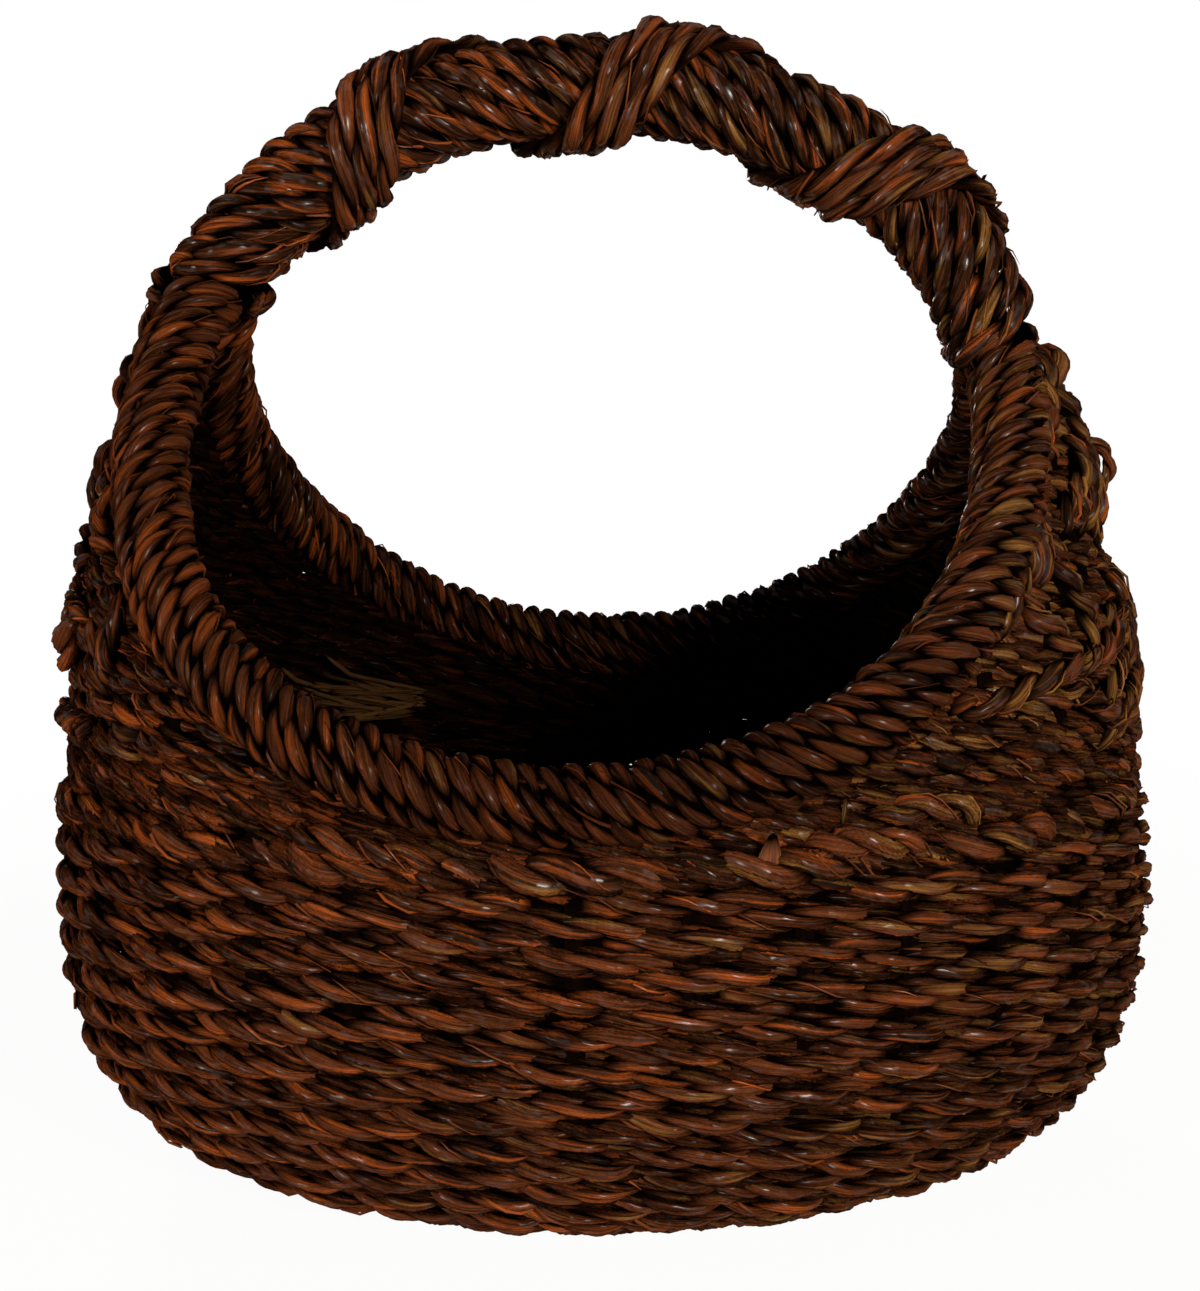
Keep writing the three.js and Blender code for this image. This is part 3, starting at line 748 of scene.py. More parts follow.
class Graph:
    """Nodes of one material, the world or a floor."""

    def __init__(self, tree: bpy.types.NodeTree) -> None:
        """Clears a node tree.

        Args:
            tree: the tree to fill.
        """
        self.tree = tree
        tree.nodes.clear()

    def node(
        self,
        kind: str,
        settings: Mapping[str, object],
        values: Mapping[Union[str, int], SocketValue],
        output: Union[str, int] = 0,
    ) -> Signal:
        """Adds a node.

        Args:
            kind: type of the node.
            settings: its properties, set first.
            values: values or links of its input sockets.
            output: output socket that is wanted.

        Returns:
            That output.
        """
        made = self.tree.nodes.new(kind)
        for name, value in settings.items():
            setattr(made, name, value)
        for name, value in values.items():
            socket = made.inputs[name]
            if isinstance(value, Signal):
                self.tree.links.new(value.socket, socket)
            elif isinstance(value, tuple) and socket.type == "RGBA":
                socket.default_value = (*value, 1.0)[:4]
            else:
                socket.default_value = value
        if not made.outputs:
            return Signal(self, made.inputs[0])
        return Signal(self, made.outputs[output])

    def attribute(self, name: str, output: str) -> Signal:
        """Value stored at the points of a mesh."""
        return self.node("ShaderNodeAttribute", {"attribute_name": name}, {}, output)

    def noise(self, place: Signal, stretch: Triple, detail: float) -> Signal:
        """Noise over a vector that is stretched first.

        Args:
            place: vector that it varies over.
            stretch: factor on each component.
            detail: octaves.

        Returns:
            Value of the noise.
        """
        scaled = self.node("ShaderNodeVectorMath", {"operation": "MULTIPLY"}, {0: place, 1: stretch})
        values = {"Vector": scaled, "Scale": 1.0, "Detail": detail}
        return self.node("ShaderNodeTexNoise", {}, values, "Fac")

    def blend(self, low: SocketValue, high: SocketValue, share: SocketValue) -> Signal:
        """Colour part of the way from low to high."""
        return self.node("ShaderNodeMix", {"data_type": "RGBA"}, {"Factor": share, 6: low, 7: high}, 2)


def finish_graph(name: str) -> tuple[bpy.types.Material, Graph]:
    """Starts a material.

    Args:
        name: its name.

    Returns:
        The material and its empty nodes.
    """
    made = bpy.data.materials.new(name)
    made.use_nodes = True
    return made, Graph(made.node_tree)


@dataclass(frozen=True)
class RopeFinish:
    """Dark varnished grass rope.

    The stretches scale its grain round a ply, round it and along it, for each kind of mark.
    """

    name: str
    slot: str
    # Near-black colour painted as shade in the grooves between plies and on shaded faces.
    painted_groove_shade: Colour = (0.0012, 0.0006, 0.0004)
    dark: Colour = (0.012, 0.0047, 0.0024)
    brown: Colour = (0.104, 0.0285, 0.0098)
    red: Colour = (0.27, 0.058, 0.010)
    straw: Colour = (0.18, 0.080, 0.018)
    red_share: float = 0.54
    straw_share: float = 0.40
    # How far the fibres turn redder towards the left and more straw-coloured towards the right.
    rightward_hue_shift: float = 0.45
    rough: float = 0.6
    glint: float = 0.085
    glint_share: float = 0.50
    glint_rough: float = 0.27
    varnish_ior: float = 2.2
    streak_stretch: Triple = (2.6, 2.6, 0.35)
    grain_stretch: Triple = (7.0, 7.0, 0.7)
    hue_stretch: Triple = (0.7, 0.7, 0.42)
    glint_stretch: Triple = (1.2, 1.2, 3.4)
    bump_strength: float = 0.8
    bump_depth: float = 0.0014

    def _colour(self, graph: Graph, strand: Signal, streak: Signal, grain: Signal) -> Signal:
        """Colour of the fibres, before the painted shade in the grooves between plies and on shaded faces
        darkens it.

        Args:
            graph: nodes of the material.
            strand: place in the grain.
            streak: long light and dark streaks.
            grain: fine fibres.

        Returns:
            The colour.
        """
        tone = graph.attribute("tone", "Fac")
        place = graph.node("ShaderNodeTexCoord", {}, {}, "Object")
        rightward = graph.node("ShaderNodeSeparateXYZ", {}, {0: place}, "X")
        # The fibres turn redder towards the left and more straw-coloured towards the right.
        hue = graph.noise(strand, self.hue_stretch, 2.0) - rightward * self.rightward_hue_shift
        lit = (streak * 3.0 - 0.8).clamped()
        body = graph.blend(self.dark, self.brown, (tone + streak * 3.6 - 1.75).clamped())
        body = graph.blend(body, self.red, ((hue - self.red_share) * 8).clamped() * lit)
        body = graph.blend(body, self.straw, ((self.straw_share - hue) * 9).clamped() * lit)
        return graph.blend(self.dark, body, (grain * 3.0 - 0.6).clamped())

    def material(self) -> bpy.types.Material:
        """The finish as a material, made once.

        Returns:
            The material.
        """
        known = bpy.data.materials.get(self.name)
        if known:
            return known
        made, graph = finish_graph(self.name)
        strand = graph.attribute("strand", "Vector")
        painted_light = graph.attribute("painted_light", "Fac")
        streak = graph.noise(strand, self.streak_stretch, 4.0)
        grain = graph.noise(strand, self.grain_stretch, 3.0)
        body = self._colour(graph, strand, streak, grain)
        # Painted shade: the painted light blends the colour down to the near-black groove shade.
        colour = graph.blend(self.painted_groove_shade, body, (painted_light * 1.5 - 0.25).clamped())
        spot = graph.noise(strand, self.glint_stretch, 1.0)
        glints = self.glint * ((spot - self.glint_share) * 8).clamped() * painted_light * painted_light
        relief = {
            "Height": grain * 0.7 + streak * 0.8,
            "Strength": self.bump_strength,
            "Distance": self.bump_depth,
        }
        bump = graph.node("ShaderNodeBump", {}, relief)
        shader = graph.node(
            "ShaderNodeBsdfPrincipled",
            {},
            {
                "Base Color": colour,
                "Roughness": self.rough,
                "Specular IOR Level": 0.0,
                "Coat Weight": glints,
                "Coat Roughness": self.glint_rough,
                "Coat IOR": self.varnish_ior,
                "Normal": bump,
            },
        )
        graph.node("ShaderNodeOutputMaterial", {}, {"Surface": shader})
        return made


@dataclass(frozen=True)
class CaneFinish:
    """Near-black cane, painted as shade: the stakes and hoop cores show only in dark gaps of the weave."""

    name: str
    slot: str
    # Painted shade: both colours are near black.
    dark: Colour = (0.0012, 0.0006, 0.0004)
    light: Colour = (0.003, 0.0013, 0.0006)
    rough: float = 0.8
    grain_stretch: Triple = (900.0, 900.0, 60.0)
    bump_strength: float = 0.3
    bump_depth: float = 0.0004

    def material(self) -> bpy.types.Material:
        """The finish as a material, made once.

        Returns:
            The material.
        """
        known = bpy.data.materials.get(self.name)
        if known:
            return known
        made, graph = finish_graph(self.name)
        place = graph.node("ShaderNodeTexCoord", {}, {}, "Object")
        grain = graph.noise(place, self.grain_stretch, 3.0)
        colour = graph.blend(self.dark, self.light, (grain * 2.4 - 0.8).clamped())
        relief = {"Height": grain, "Strength": self.bump_strength, "Distance": self.bump_depth}
        bump = graph.node("ShaderNodeBump", {}, relief)
        shader = graph.node(
            "ShaderNodeBsdfPrincipled",
            {},
            {
                "Base Color": colour,
                "Roughness": self.rough,
                "Specular IOR Level": 0.0,
                "Normal": bump,
            },
        )
        graph.node("ShaderNodeOutputMaterial", {}, {"Surface": shader})
        return made


Finish = Union[RopeFinish, CaneFinish]

ROW_FINISH = RopeFinish("varnished_row_rope", "row_rope")
GORE_FINISH = RopeFinish("varnished_gore_rope", "gore_rope", straw_share=0.44)
WRAP_FINISH = RopeFinish("varnished_wrap_rope", "wrap_rope", glint=0.12)
BAND_FINISH = RopeFinish("varnished_band_rope", "band_rope", straw_share=0.42, glint=0.12)
REED_FINISH = RopeFinish(
    "dry_reed",
    "gore_rope",
    dark=(0.010, 0.005, 0.002),
    brown=(0.052, 0.026, 0.009),
    red=(0.09, 0.036, 0.010),
    straw=(0.12, 0.062, 0.018),
    glint=0.02,
)
TIP_FINISH = RopeFinish(
    "cut_cane",
    "bare_cane",
    dark=(0.05, 0.016, 0.008),
    brown=(0.15, 0.052, 0.024),
    red=(0.20, 0.060, 0.026),
    glint=0.01,
)
CANE_FINISH = CaneFinish("painted_shade_cane", "bare_cane")


def dress(thing: bpy.types.Object, finish: Finish) -> None:
    """Gives a piece its finish."""
    thing.data.materials.clear()
    thing.data.materials.append(finish.material())


def settle(mesh: RopeMesh, finish: Finish, nodes: Sequence[str]) -> bpy.types.Object:
    """Makes a rope piece and ties it to the frame.

    Args:
        mesh: its mesh.
        finish: its finish.
        nodes: CAD nodes that it stands for.

    Returns:
        The piece.
    """
    thing = mesh.piece()
    dress(thing, finish)
    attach(thing, "root")
    if nodes:
        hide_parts(*nodes)
    LOG.info("%s: %d faces", thing.name, len(thing.data.polygons))
    return thing


def round_both(share: Array, gap: Array, radius: Array) -> tuple[Array, Array, Array, Array]:
    """Place on the outline of two rods side by side, or of one rod where the gap is 0.

    Args:
        share: part of the way round, from the outer middle towards the back.
        gap: half of the distance between the rods' middles.
        radius: distance of the outline from a rod's middle.

    Returns:
        Outward and backward parts of the place, then of the direction away from the rods.
    """
    arc = math.pi * radius
    passed = np.mod(share, 1) * (2 * arc + 4 * gap)
    back_angle = np.clip((passed - gap) / radius, 0, math.pi)
    front_angle = np.clip((passed - 3 * gap - arc) / radius, 0, math.pi)
    angle = back_angle + front_angle
    first = np.clip(passed, 0, gap)
    inner = np.clip(passed - gap - arc, 0, 2 * gap)
    last = np.clip(passed - 3 * gap - 2 * arc, 0, gap)
    offset = first - inner + last
    return radius * np.cos(angle), offset + radius * np.sin(angle), np.cos(angle), np.sin(angle)


@dataclass
class Winding:
    """A rope wound on a hoop, or round both hoops."""

    line: HoopLine
    start: float
    finish: float
    radius: float
    pitch: float
    lean: float = 0.0
    lean_ramp: float = 0.008
    ramp_from: float = 0.0
    ramp_to: float = 0.0
    way: int = 1
    both: bool = False
    origin: float = 0.0
    jitter: float = 0.0004
    jitter_turns: float = 0.9
    lift_share: float = 0.6
    lift_turns: float = 0.6
    tuck: float = 0.0
    tuck_reach: float = 0.010
    samples: int = 72

    def course(self, rng: np.random.Generator) -> Course:
        """Course of the rope's middle.

        Args:
            rng: source of its unevenness.

        Returns:
            The course.
        """
        turns = (self.finish - self.start) / self.pitch
        level = np.linspace(self.start, self.finish, max(8, round(turns * self.samples)))
        share = self.way * (level - self.origin) / self.pitch
        to_end = np.minimum(level - self.start, self.finish - level)
        radius = self.radius - self.tuck * (1 - ease(to_end / self.tuck_reach))
        passed = np.linspace(0, turns, len(level))
        level = level + self.jitter * drift(passed, self.jitter_turns, rng)
        rise = np.minimum(level - self.ramp_from, self.ramp_to - level) / self.lean_ramp
        level = level + self.lean * ease(rise) * np.cos(TURN * share)
        point, out, back = self.line.frame(level)
        gap = HOOPS.spread(point[:, 2], point[:, 0] < 0) if self.both else np.zeros(len(level))
        place_out, place_back, away_out, away_back = round_both(share, gap, radius)
        lift = 1 + self.lift_share * self.jitter / self.radius * drift(passed, self.lift_turns, rng)
        centre = point + (place_out * lift)[:, None] * out + (place_back * lift)[:, None] * back
        return Course(centre, away_out[:, None] * out + away_back[:, None] * back)


@dataclass
class HoopWraps:
    """Rope wound on the free part of each hoop, from the forks to the middle of the rim."""

    rope: Rope = Rope(
        height=0.0054, thick=0.0052, lay=-0.0180, step=0.0009, uneven=0.12, inside_painted_shade=0.9
    )
    radius: float = 0.0066
    pitch: float = 0.0051
    lean: float = 0.0027
    shade: float = -0.12
    # Painted shade: brightness left on each arm and on the rim, the left arm darker; the back hoop, seen
    # from inside, is painted darker still.
    arm_painted_brightness: Mapping[Side, float] = field(default_factory=lambda: {Side.LEFT: 0.58, Side.RIGHT: 0.74})
    rim_painted_brightness: float = 0.45
    rim_painted_brightness_height: float = 0.04
    back_shade: float = -0.25
    seed: int = 11

    def build(self) -> None:
        """Makes the four windings."""
        for facing in (Facing.FRONT, Facing.BACK):
            line = HoopLine(facing)
            top = line.length_to(HOOPS.junction_z(Side.LEFT), Side.LEFT)
            end = line.length_to(HOOPS.junction_z(Side.RIGHT), Side.RIGHT)
            middle = line.whole / 2
            for side, start, finish in ((Side.LEFT, top, middle), (Side.RIGHT, middle, end)):
                node = f"{facing.name.lower()}_hoop_wrap_{side.name.lower()}"
                mesh = RopeMesh(f"rope_on_{node}", self.seed + facing.value + 5 * side.value)
                winding = Winding(
                    line,
                    start,
                    finish,
                    self.radius,
                    self.pitch,
                    self.lean,
                    ramp_from=top,
                    ramp_to=end,
                    origin=top,
                )
                course = winding.course(mesh.rng)
                # Painted shade: darkest along the rim, less up the arms; the back hoop's wraps darker.
                climb = ease((course.points[:, 2] - HOOPS.rim_z) / self.rim_painted_brightness_height)
                painted_brightness = mix(self.rim_painted_brightness, self.arm_painted_brightness[side], climb)
                shade = self.shade + (self.back_shade if facing is Facing.BACK else 0.0)
                mesh.add(replace(course, painted_brightness=painted_brightness), self.rope, shade)
                settle(mesh, WRAP_FINISH, [node])


@dataclass
class Handle:
    """Binding of the two hoops into one handle, and the band of ropes that spirals over it."""

    rope: Rope = Rope(
        height=0.0060, thick=0.0052, lay=-0.0240, step=0.0009, uneven=0.12, inside_painted_shade=0.9
    )
    radius: float = 0.0090
    pitch: float = 0.0058
    lean: float = 0.0076
    band_rope: Rope = Rope(
        height=0.0064, thick=0.0058, lay=-0.034, step=0.0009, blunt=0.009, frizz=40.0, inside_painted_shade=0.75
    )
    band_radius: float = 0.0133
    band_turns: float = 3.2
    band_margin: float = 0.009
    band_spacing: float = 0.0060
    band_start: float = 0.13
    band_tuck: float = 0.0022
    shade: float = -0.46
    turn_samples: int = 110
    band_turn_samples: int = 160
    seed: int = 41

    def build(self) -> None:
        """Makes the binding and the band."""
        line = HoopLine(Facing.MIDDLE)
        start = line.length_to(HOOPS.junction_z(Side.RIGHT), Side.RIGHT) - line.whole
        finish = line.length_to(HOOPS.junction_z(Side.LEFT), Side.LEFT)
        mesh = RopeMesh("rope_on_handle", self.seed)
        binding = Winding(
            line,
            start,
            finish,
            self.radius,
            self.pitch,
            self.lean,
            ramp_from=start,
            ramp_to=finish,
            both=True,
            origin=start,
            samples=self.turn_samples,
        )
        mesh.add(binding.course(mesh.rng), self.rope, self.shade)
        settle(mesh, WRAP_FINISH, ["handle_wrap"])
        bands = sorted(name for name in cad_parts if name.startswith("handle_band"))
        for number, node in enumerate(bands):
            left_over = (len(bands) - 1) * self.band_spacing
            first = start + self.band_margin + number * self.band_spacing
            last = finish - self.band_margin - left_over + number * self.band_spacing
            pitch = (last - first) / self.band_turns
            band = Winding(
                line,
                first,
                last,
                self.band_radius,
                pitch,
                way=-1,
                both=True,
                origin=last + self.band_start * pitch,
                tuck=self.band_tuck,
                samples=self.band_turn_samples,
            )
            mesh = RopeMesh(f"rope_on_{node}", self.seed + 1 + number)
            mesh.add(band.course(mesh.rng), self.band_rope)
            settle(mesh, BAND_FINISH, [node])


@dataclass
class Bowl:
    """Rows of rope woven in and out of the stakes, a thicker border on top, and strands packed between.

    Each row of the frame stands for two turns of the rope. Spans are in radians round the bowl.
    """

    stakes: StakeRing
    rope: Rope = Rope(
        height=0.0048, thick=0.0046, lay=0.025, uneven=0.18, frizz=30.0, inside_painted_shade=0.8, valley=0.05
    )
    border_rope: Rope = Rope(
        height=0.0086, thick=0.0072, lay=0.024, uneven=0.2, inside_painted_shade=0.8, valley=0.1
    )
    packing: Rope = Rope(
        height=0.0034, thick=0.0036, lay=0.020, sides=6, uneven=0.35, frizz=0, inside_painted_shade=0.6
    )
    border_packing: Rope = Rope(
        height=0.0045, thick=0.0038, lay=0.020, sides=6, uneven=0.45, frizz=0, inside_painted_shade=0.6
    )
    # Painted shade: the strands packed between the rows are painted dark, as the shade in those gaps.
    packing_painted_brightness: float = 0.55
    packing_shade: float = -0.3
    border_packing_step: float = 0.6
    border_packing_rows: int = 4
    turns: int = 2
    swing: float = 0.0018
    # Painted shade: where a row passes inside a stake it is painted dark, more in some places round the
    # bowl than others.
    dive_painted_brightness: float = 0.05
    dive_painted_shade: float = 0.85
    dive_uneven: float = 0.5
    dive_span: float = 0.2
    dive_from: float = 0.5
    phase_wander: float = 0.03
    phase_span: float = 0.3
    wander: float = 0.0005
    level_span: float = 0.35
    stray_span: float = 0.45
    samples: int = 1600
    profile_samples: int = 600
    seed: int = 71

    def _levels(self, top: float, count: int) -> Array:
        """Heights of rows at equal steps up the front of the wall.

        Args:
            top: height where the rows end.
            count: number of rows.

        Returns:
            The height of each row's middle.
        """
        heights = mix(WALL.base_z, top, np.linspace(0, 1, self.profile_samples) ** 2)
        _, depth = WALL.size(heights, np.full(self.profile_samples, False))
        passed = np.concatenate([[0.0], np.cumsum(np.hypot(np.diff(heights), np.diff(depth)))])
        return np.interp((np.arange(count) + 0.5) / count * passed[-1], passed, heights)

    def _ring(self, z: float, swing: float, rng: np.random.Generator) -> Course:
        """Course of a ring round the bowl.

        Args:
            z: its height.
            swing: how far it passes outside the first stake, and inside the next.
            rng: source of its unevenness.

        Returns:
            The course.
        """
        bearing = np.linspace(0, TURN, self.samples + 1)
        level = z + self.wander * drift(bearing, self.level_span, rng, True)
        stray = self.wander * drift(bearing, self.stray_span, rng, True)
        point, out, _ = WALL.frame(bearing[:-1], level[:-1])
        phase = self.phase_wander * drift(bearing, self.phase_span, rng, True)
        wave = np.sign(swing) * self.stakes.wave((bearing + phase)[:-1])
        offset = abs(swing) * wave + stray[:-1]
        # Painted shade: the row is painted darker where it dives inside a stake; depth is the strength of
        # that painted shade.
        depth = self.dive_painted_shade + self.dive_uneven * drift(bearing, self.dive_span, rng, True)[:-1]
        dive = ease((-wave - self.dive_from) / (1 - self.dive_from))
        painted_brightness = mix(1.0, self.dive_painted_brightness, np.clip(depth, 0, 1) * dive)
        return Course(point + offset[:, None] * out, out, True, painted_brightness)

    def _pack(self, mesh: RopeMesh, z: float, rope: Rope) -> None:
        """Adds a strand packed between the rows.

        Args:
            mesh: mesh that it goes into.
            z: its height.
            rope: its make-up.
        """
        ring = self._ring(z, 0.0, mesh.rng)
        # Painted shade: the packed strand is painted dark.
        mesh.add(replace(ring, painted_brightness=self.packing_painted_brightness * ring.painted_brightness), rope, self.packing_shade)

    def build(self) -> None:
        """Makes the rows and the border, each turn with a strand packed under it."""
        rows = sorted(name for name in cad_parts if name.startswith("weave_row"))
        low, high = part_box("rim_border")
        levels = self._levels(low.z, len(rows) * self.turns)
        step = levels[-1] - levels[-2]
        for number, node in enumerate(rows):
            mesh = RopeMesh(f"rope_of_{node}", self.seed + number)
            for turn in range(number * self.turns, (number + 1) * self.turns):
                swing = self.swing if turn % 2 == 0 else -self.swing
                mesh.add(self._ring(levels[turn], swing, mesh.rng), self.rope)
                under = (levels[turn] + levels[max(0, turn - 1)]) / 2
                self._pack(mesh, under, self.packing)
            settle(mesh, ROW_FINISH, [node])
        mesh = RopeMesh("rope_of_rim_border", self.seed + len(rows))
        border = self._ring((low.z + high.z) / 2, self.swing, mesh.rng)
        mesh.add(replace(border, painted_brightness=None), self.border_rope)
        top = high.z + self.border_packing_rows * step
        for edge in np.arange(low.z, top, self.border_packing_step * step):
            self._pack(mesh, edge, self.border_packing)
        settle(mesh, ROW_FINISH, ["rim_border"])


@dataclass
class Gores:
    """Rope that goes to and fro between the hoops at each side, with shorter bits laced through it."""

    stakes: StakeRing
    rope: Rope = Rope(height=0.0052, thick=0.0050, lay=0.018, uneven=0.18, inside_painted_shade=0.8)
    pitch: float = 0.0041
    inset: float = 0.0090
    inset_share: float = 0.4
    swing: float = 0.0014
    swing_ramp: float = 0.012
    sink: float = 0.0010
    corner: float = 0.010
    pass_samples: int = 200
    stray: Triple = (0.0012, 0.0008, 0.02)
    packing: Rope = Rope(
        height=0.0044, thick=0.0042, lay=0.020, sides=6, uneven=0.3, frizz=0, inside_painted_shade=0.6
    )
    # Painted shade: the strands packed between the passes are painted dark.
    packing_painted_brightness: float = 0.55
    packing_shade: float = -0.3
    lacing_rope: Rope = Rope(
        height=0.0062, thick=0.0054, lay=-0.018, uneven=0.2, blunt=0.005, inside_painted_shade=0.8
    )
    lacings: int = 46
    lacing_share: float = 0.95
    lacing_slant: float = 0.40
    lacing_reach: Range = (0.008, 0.030)
    lacing_foot: float = 0.9
    lacing_lift: float = 0.0034
    lacing_tuck: float = -0.0022
    lacing_arch: float = 0.6
    # Painted shade: how soon the painted shade at each end of a bit of lacing gives way towards its middle.
    lacing_painted_shade_rise: float = 1.6
    lacing_stray: Triple = (0.0025, 0.0008, 0.014)
    lacing_shades: Range = (-0.4, 0.15)
    lacing_samples: int = 60
    shade: float = -0.25
    # Painted shade: the left gore's tone is lower than the right's, on the side away from the key lamp.
    shades: Mapping[Side, float] = field(default_factory=lambda: {Side.LEFT: -0.44, Side.RIGHT: -0.30})
    seed: int = 131

    def _edge(self, side: Side, z: Array) -> Array:
        """Bearing, from the middle of a side, at which a hoop passes each height."""
        width, _ = WALL.size(z, np.full(z.shape, side is Side.LEFT))
        return np.arccos(np.clip(HOOPS.half_width_at(z) / width, 0, MOST_OF_WIDTH))

    def _lacing(self, side: Side, low: float, high: float, rng: np.random.Generator) -> Course:
        """Course of one bit of lacing, which comes out of the wall, runs up it and goes in again.

        Args:
            side: side of the basket.
            low: lowest height it may start at.
            high: greatest height it may reach.
            rng: source of its place.

        Returns:
            The course.
        """
        middle = math.pi if side is Side.LEFT else 0.0
        foot = rng.uniform(low, mix(low, high, self.lacing_foot))
        head = min(high, foot + rng.uniform(*self.lacing_reach))
        share = rng.uniform(-1, 1) * self.lacing_share
        slant = np.clip(share + rng.normal(0, self.lacing_slant), -self.lacing_share, self.lacing_share)
        passed = np.linspace(0, 1, self.lacing_samples)
        z = mix(foot, head, passed)
        bearing = middle + side.value * mix(share, slant, ease(passed)) * self._edge(side, z)
        point, out, _ = WALL.frame(bearing, z)
        arch = np.sin(math.pi * passed)
        lift = mix(self.lacing_tuck, self.lacing_lift, arch**self.lacing_arch)
        # Painted shade: the bit is painted darker towards both ends, where it goes into the wall.
        course = Course(point + lift[:, None] * out, out, painted_brightness=ease(self.lacing_painted_shade_rise * arch))
        return course.wandering(rng, *self.lacing_stray)

    def _pass(self, side: Side, z: float, way: int) -> tuple[Array, Array]:
        """One pass of the rope between the hoops.

        Args:
            side: side of the basket.
            z: height of the pass.
            way: 1 for a pass one way between the hoops, -1 for a pass back.

        Returns:
            Points and directions out of the wall.
        """
        edge = float(self._edge(side, np.array([z]))[0])
        middle = math.pi if side is Side.LEFT else 0.0
        bearing = middle + np.linspace(-edge, edge, self.pass_samples) * way * side.value
        point, out, _ = WALL.frame(bearing, np.full(self.pass_samples, z))
        passed = np.concatenate([[0.0], np.cumsum(np.linalg.norm(np.diff(point, axis=0), axis=1))])
        to_end = np.minimum(passed, passed[-1] - passed)
        kept = to_end >= min(self.inset, passed[-1] * self.inset_share)
        from_end = ease((to_end - self.inset) / self.swing_ramp)
        swing = self.swing * mix(1.0, way * self.stakes.wave(bearing), from_end) - self.sink
        return (point + swing[:, None] * out)[kept], out[kept]

    def _passes(self, side: Side, heights: Array) -> Course:
        """Course of a rope that goes to and fro between the hoops.

        Args:
            side: side of the basket.
            heights: height of each pass, from the bottom.

        Returns:
            The course.
        """
        ways = [1 if number % 2 == 0 else -1 for number in range(len(heights))]
        points, outs = zip(*(self._pass(side, z, way) for z, way in zip(heights, ways)))
        course = Course(np.concatenate(points), np.concatenate(outs))
        return course.rounded(COURSE_STEP, self.corner)

    def build(self) -> None:
        """Makes both gores."""
        for side in Side:
            node = f"{side.name.lower()}_gore_rope"
            low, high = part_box(node)
            count = max(2, round((high.z - low.z) / self.pitch))
            half = self.rope.height / 2
            heights = np.linspace(low.z + half, high.z - half, count)
            mesh = RopeMesh(f"rope_of_{node}", self.seed + side.value)
            passes = self._passes(side, heights).wandering(mesh.rng, *self.stray)
            mesh.add(passes, self.rope, self.shade + self.shades[side])
            between = self._passes(side, (heights[1:] + heights[:-1]) / 2)
            # Painted shade: the packed strands are painted dark.
            painted_brightness = np.full(len(between.points), self.packing_painted_brightness)
            mesh.add(replace(between, painted_brightness=painted_brightness), self.packing, self.packing_shade)
            for _ in range(self.lacings):
                shade = mesh.rng.uniform(*self.lacing_shades) + self.shades[side]
                mesh.add(self._lacing(side, low.z, high.z, mesh.rng), self.lacing_rope, shade)
            settle(mesh, GORE_FINISH, [node])


@dataclass(frozen=True)
class LooseEnd:
    """A rope end or reed that sticks out of the weave.

    It passes places on the wall, given by bearings in degrees, heights, and distances out of the wall.
    """

    name: str
    rope: Rope
    finish: RopeFinish
    bearings: tuple[float, ...]
    heights: tuple[float, ...]
    lifts: tuple[float, ...]
    shade: float = 0.0
    corner: float = 0.004
    corner_step: float = 0.0006
    samples: int = 60

    def build(self, seed: int) -> None:
        """Makes the piece.

        Args:
            seed: seed of its unevenness.
        """
        passed = np.linspace(0, 1, len(self.bearings))
        share = np.linspace(0, 1, self.samples)
        bearing = np.radians(np.interp(share, passed, self.bearings))
        point, out, _ = WALL.frame(bearing, np.interp(share, passed, self.heights))
        lift = np.interp(share, passed, self.lifts)
        mesh = RopeMesh(self.name, seed)
        course = Course(point + lift[:, None] * out, out).rounded(self.corner_step, self.corner)
        mesh.add(course, self.rope, self.shade)
        settle(mesh, self.finish, [])


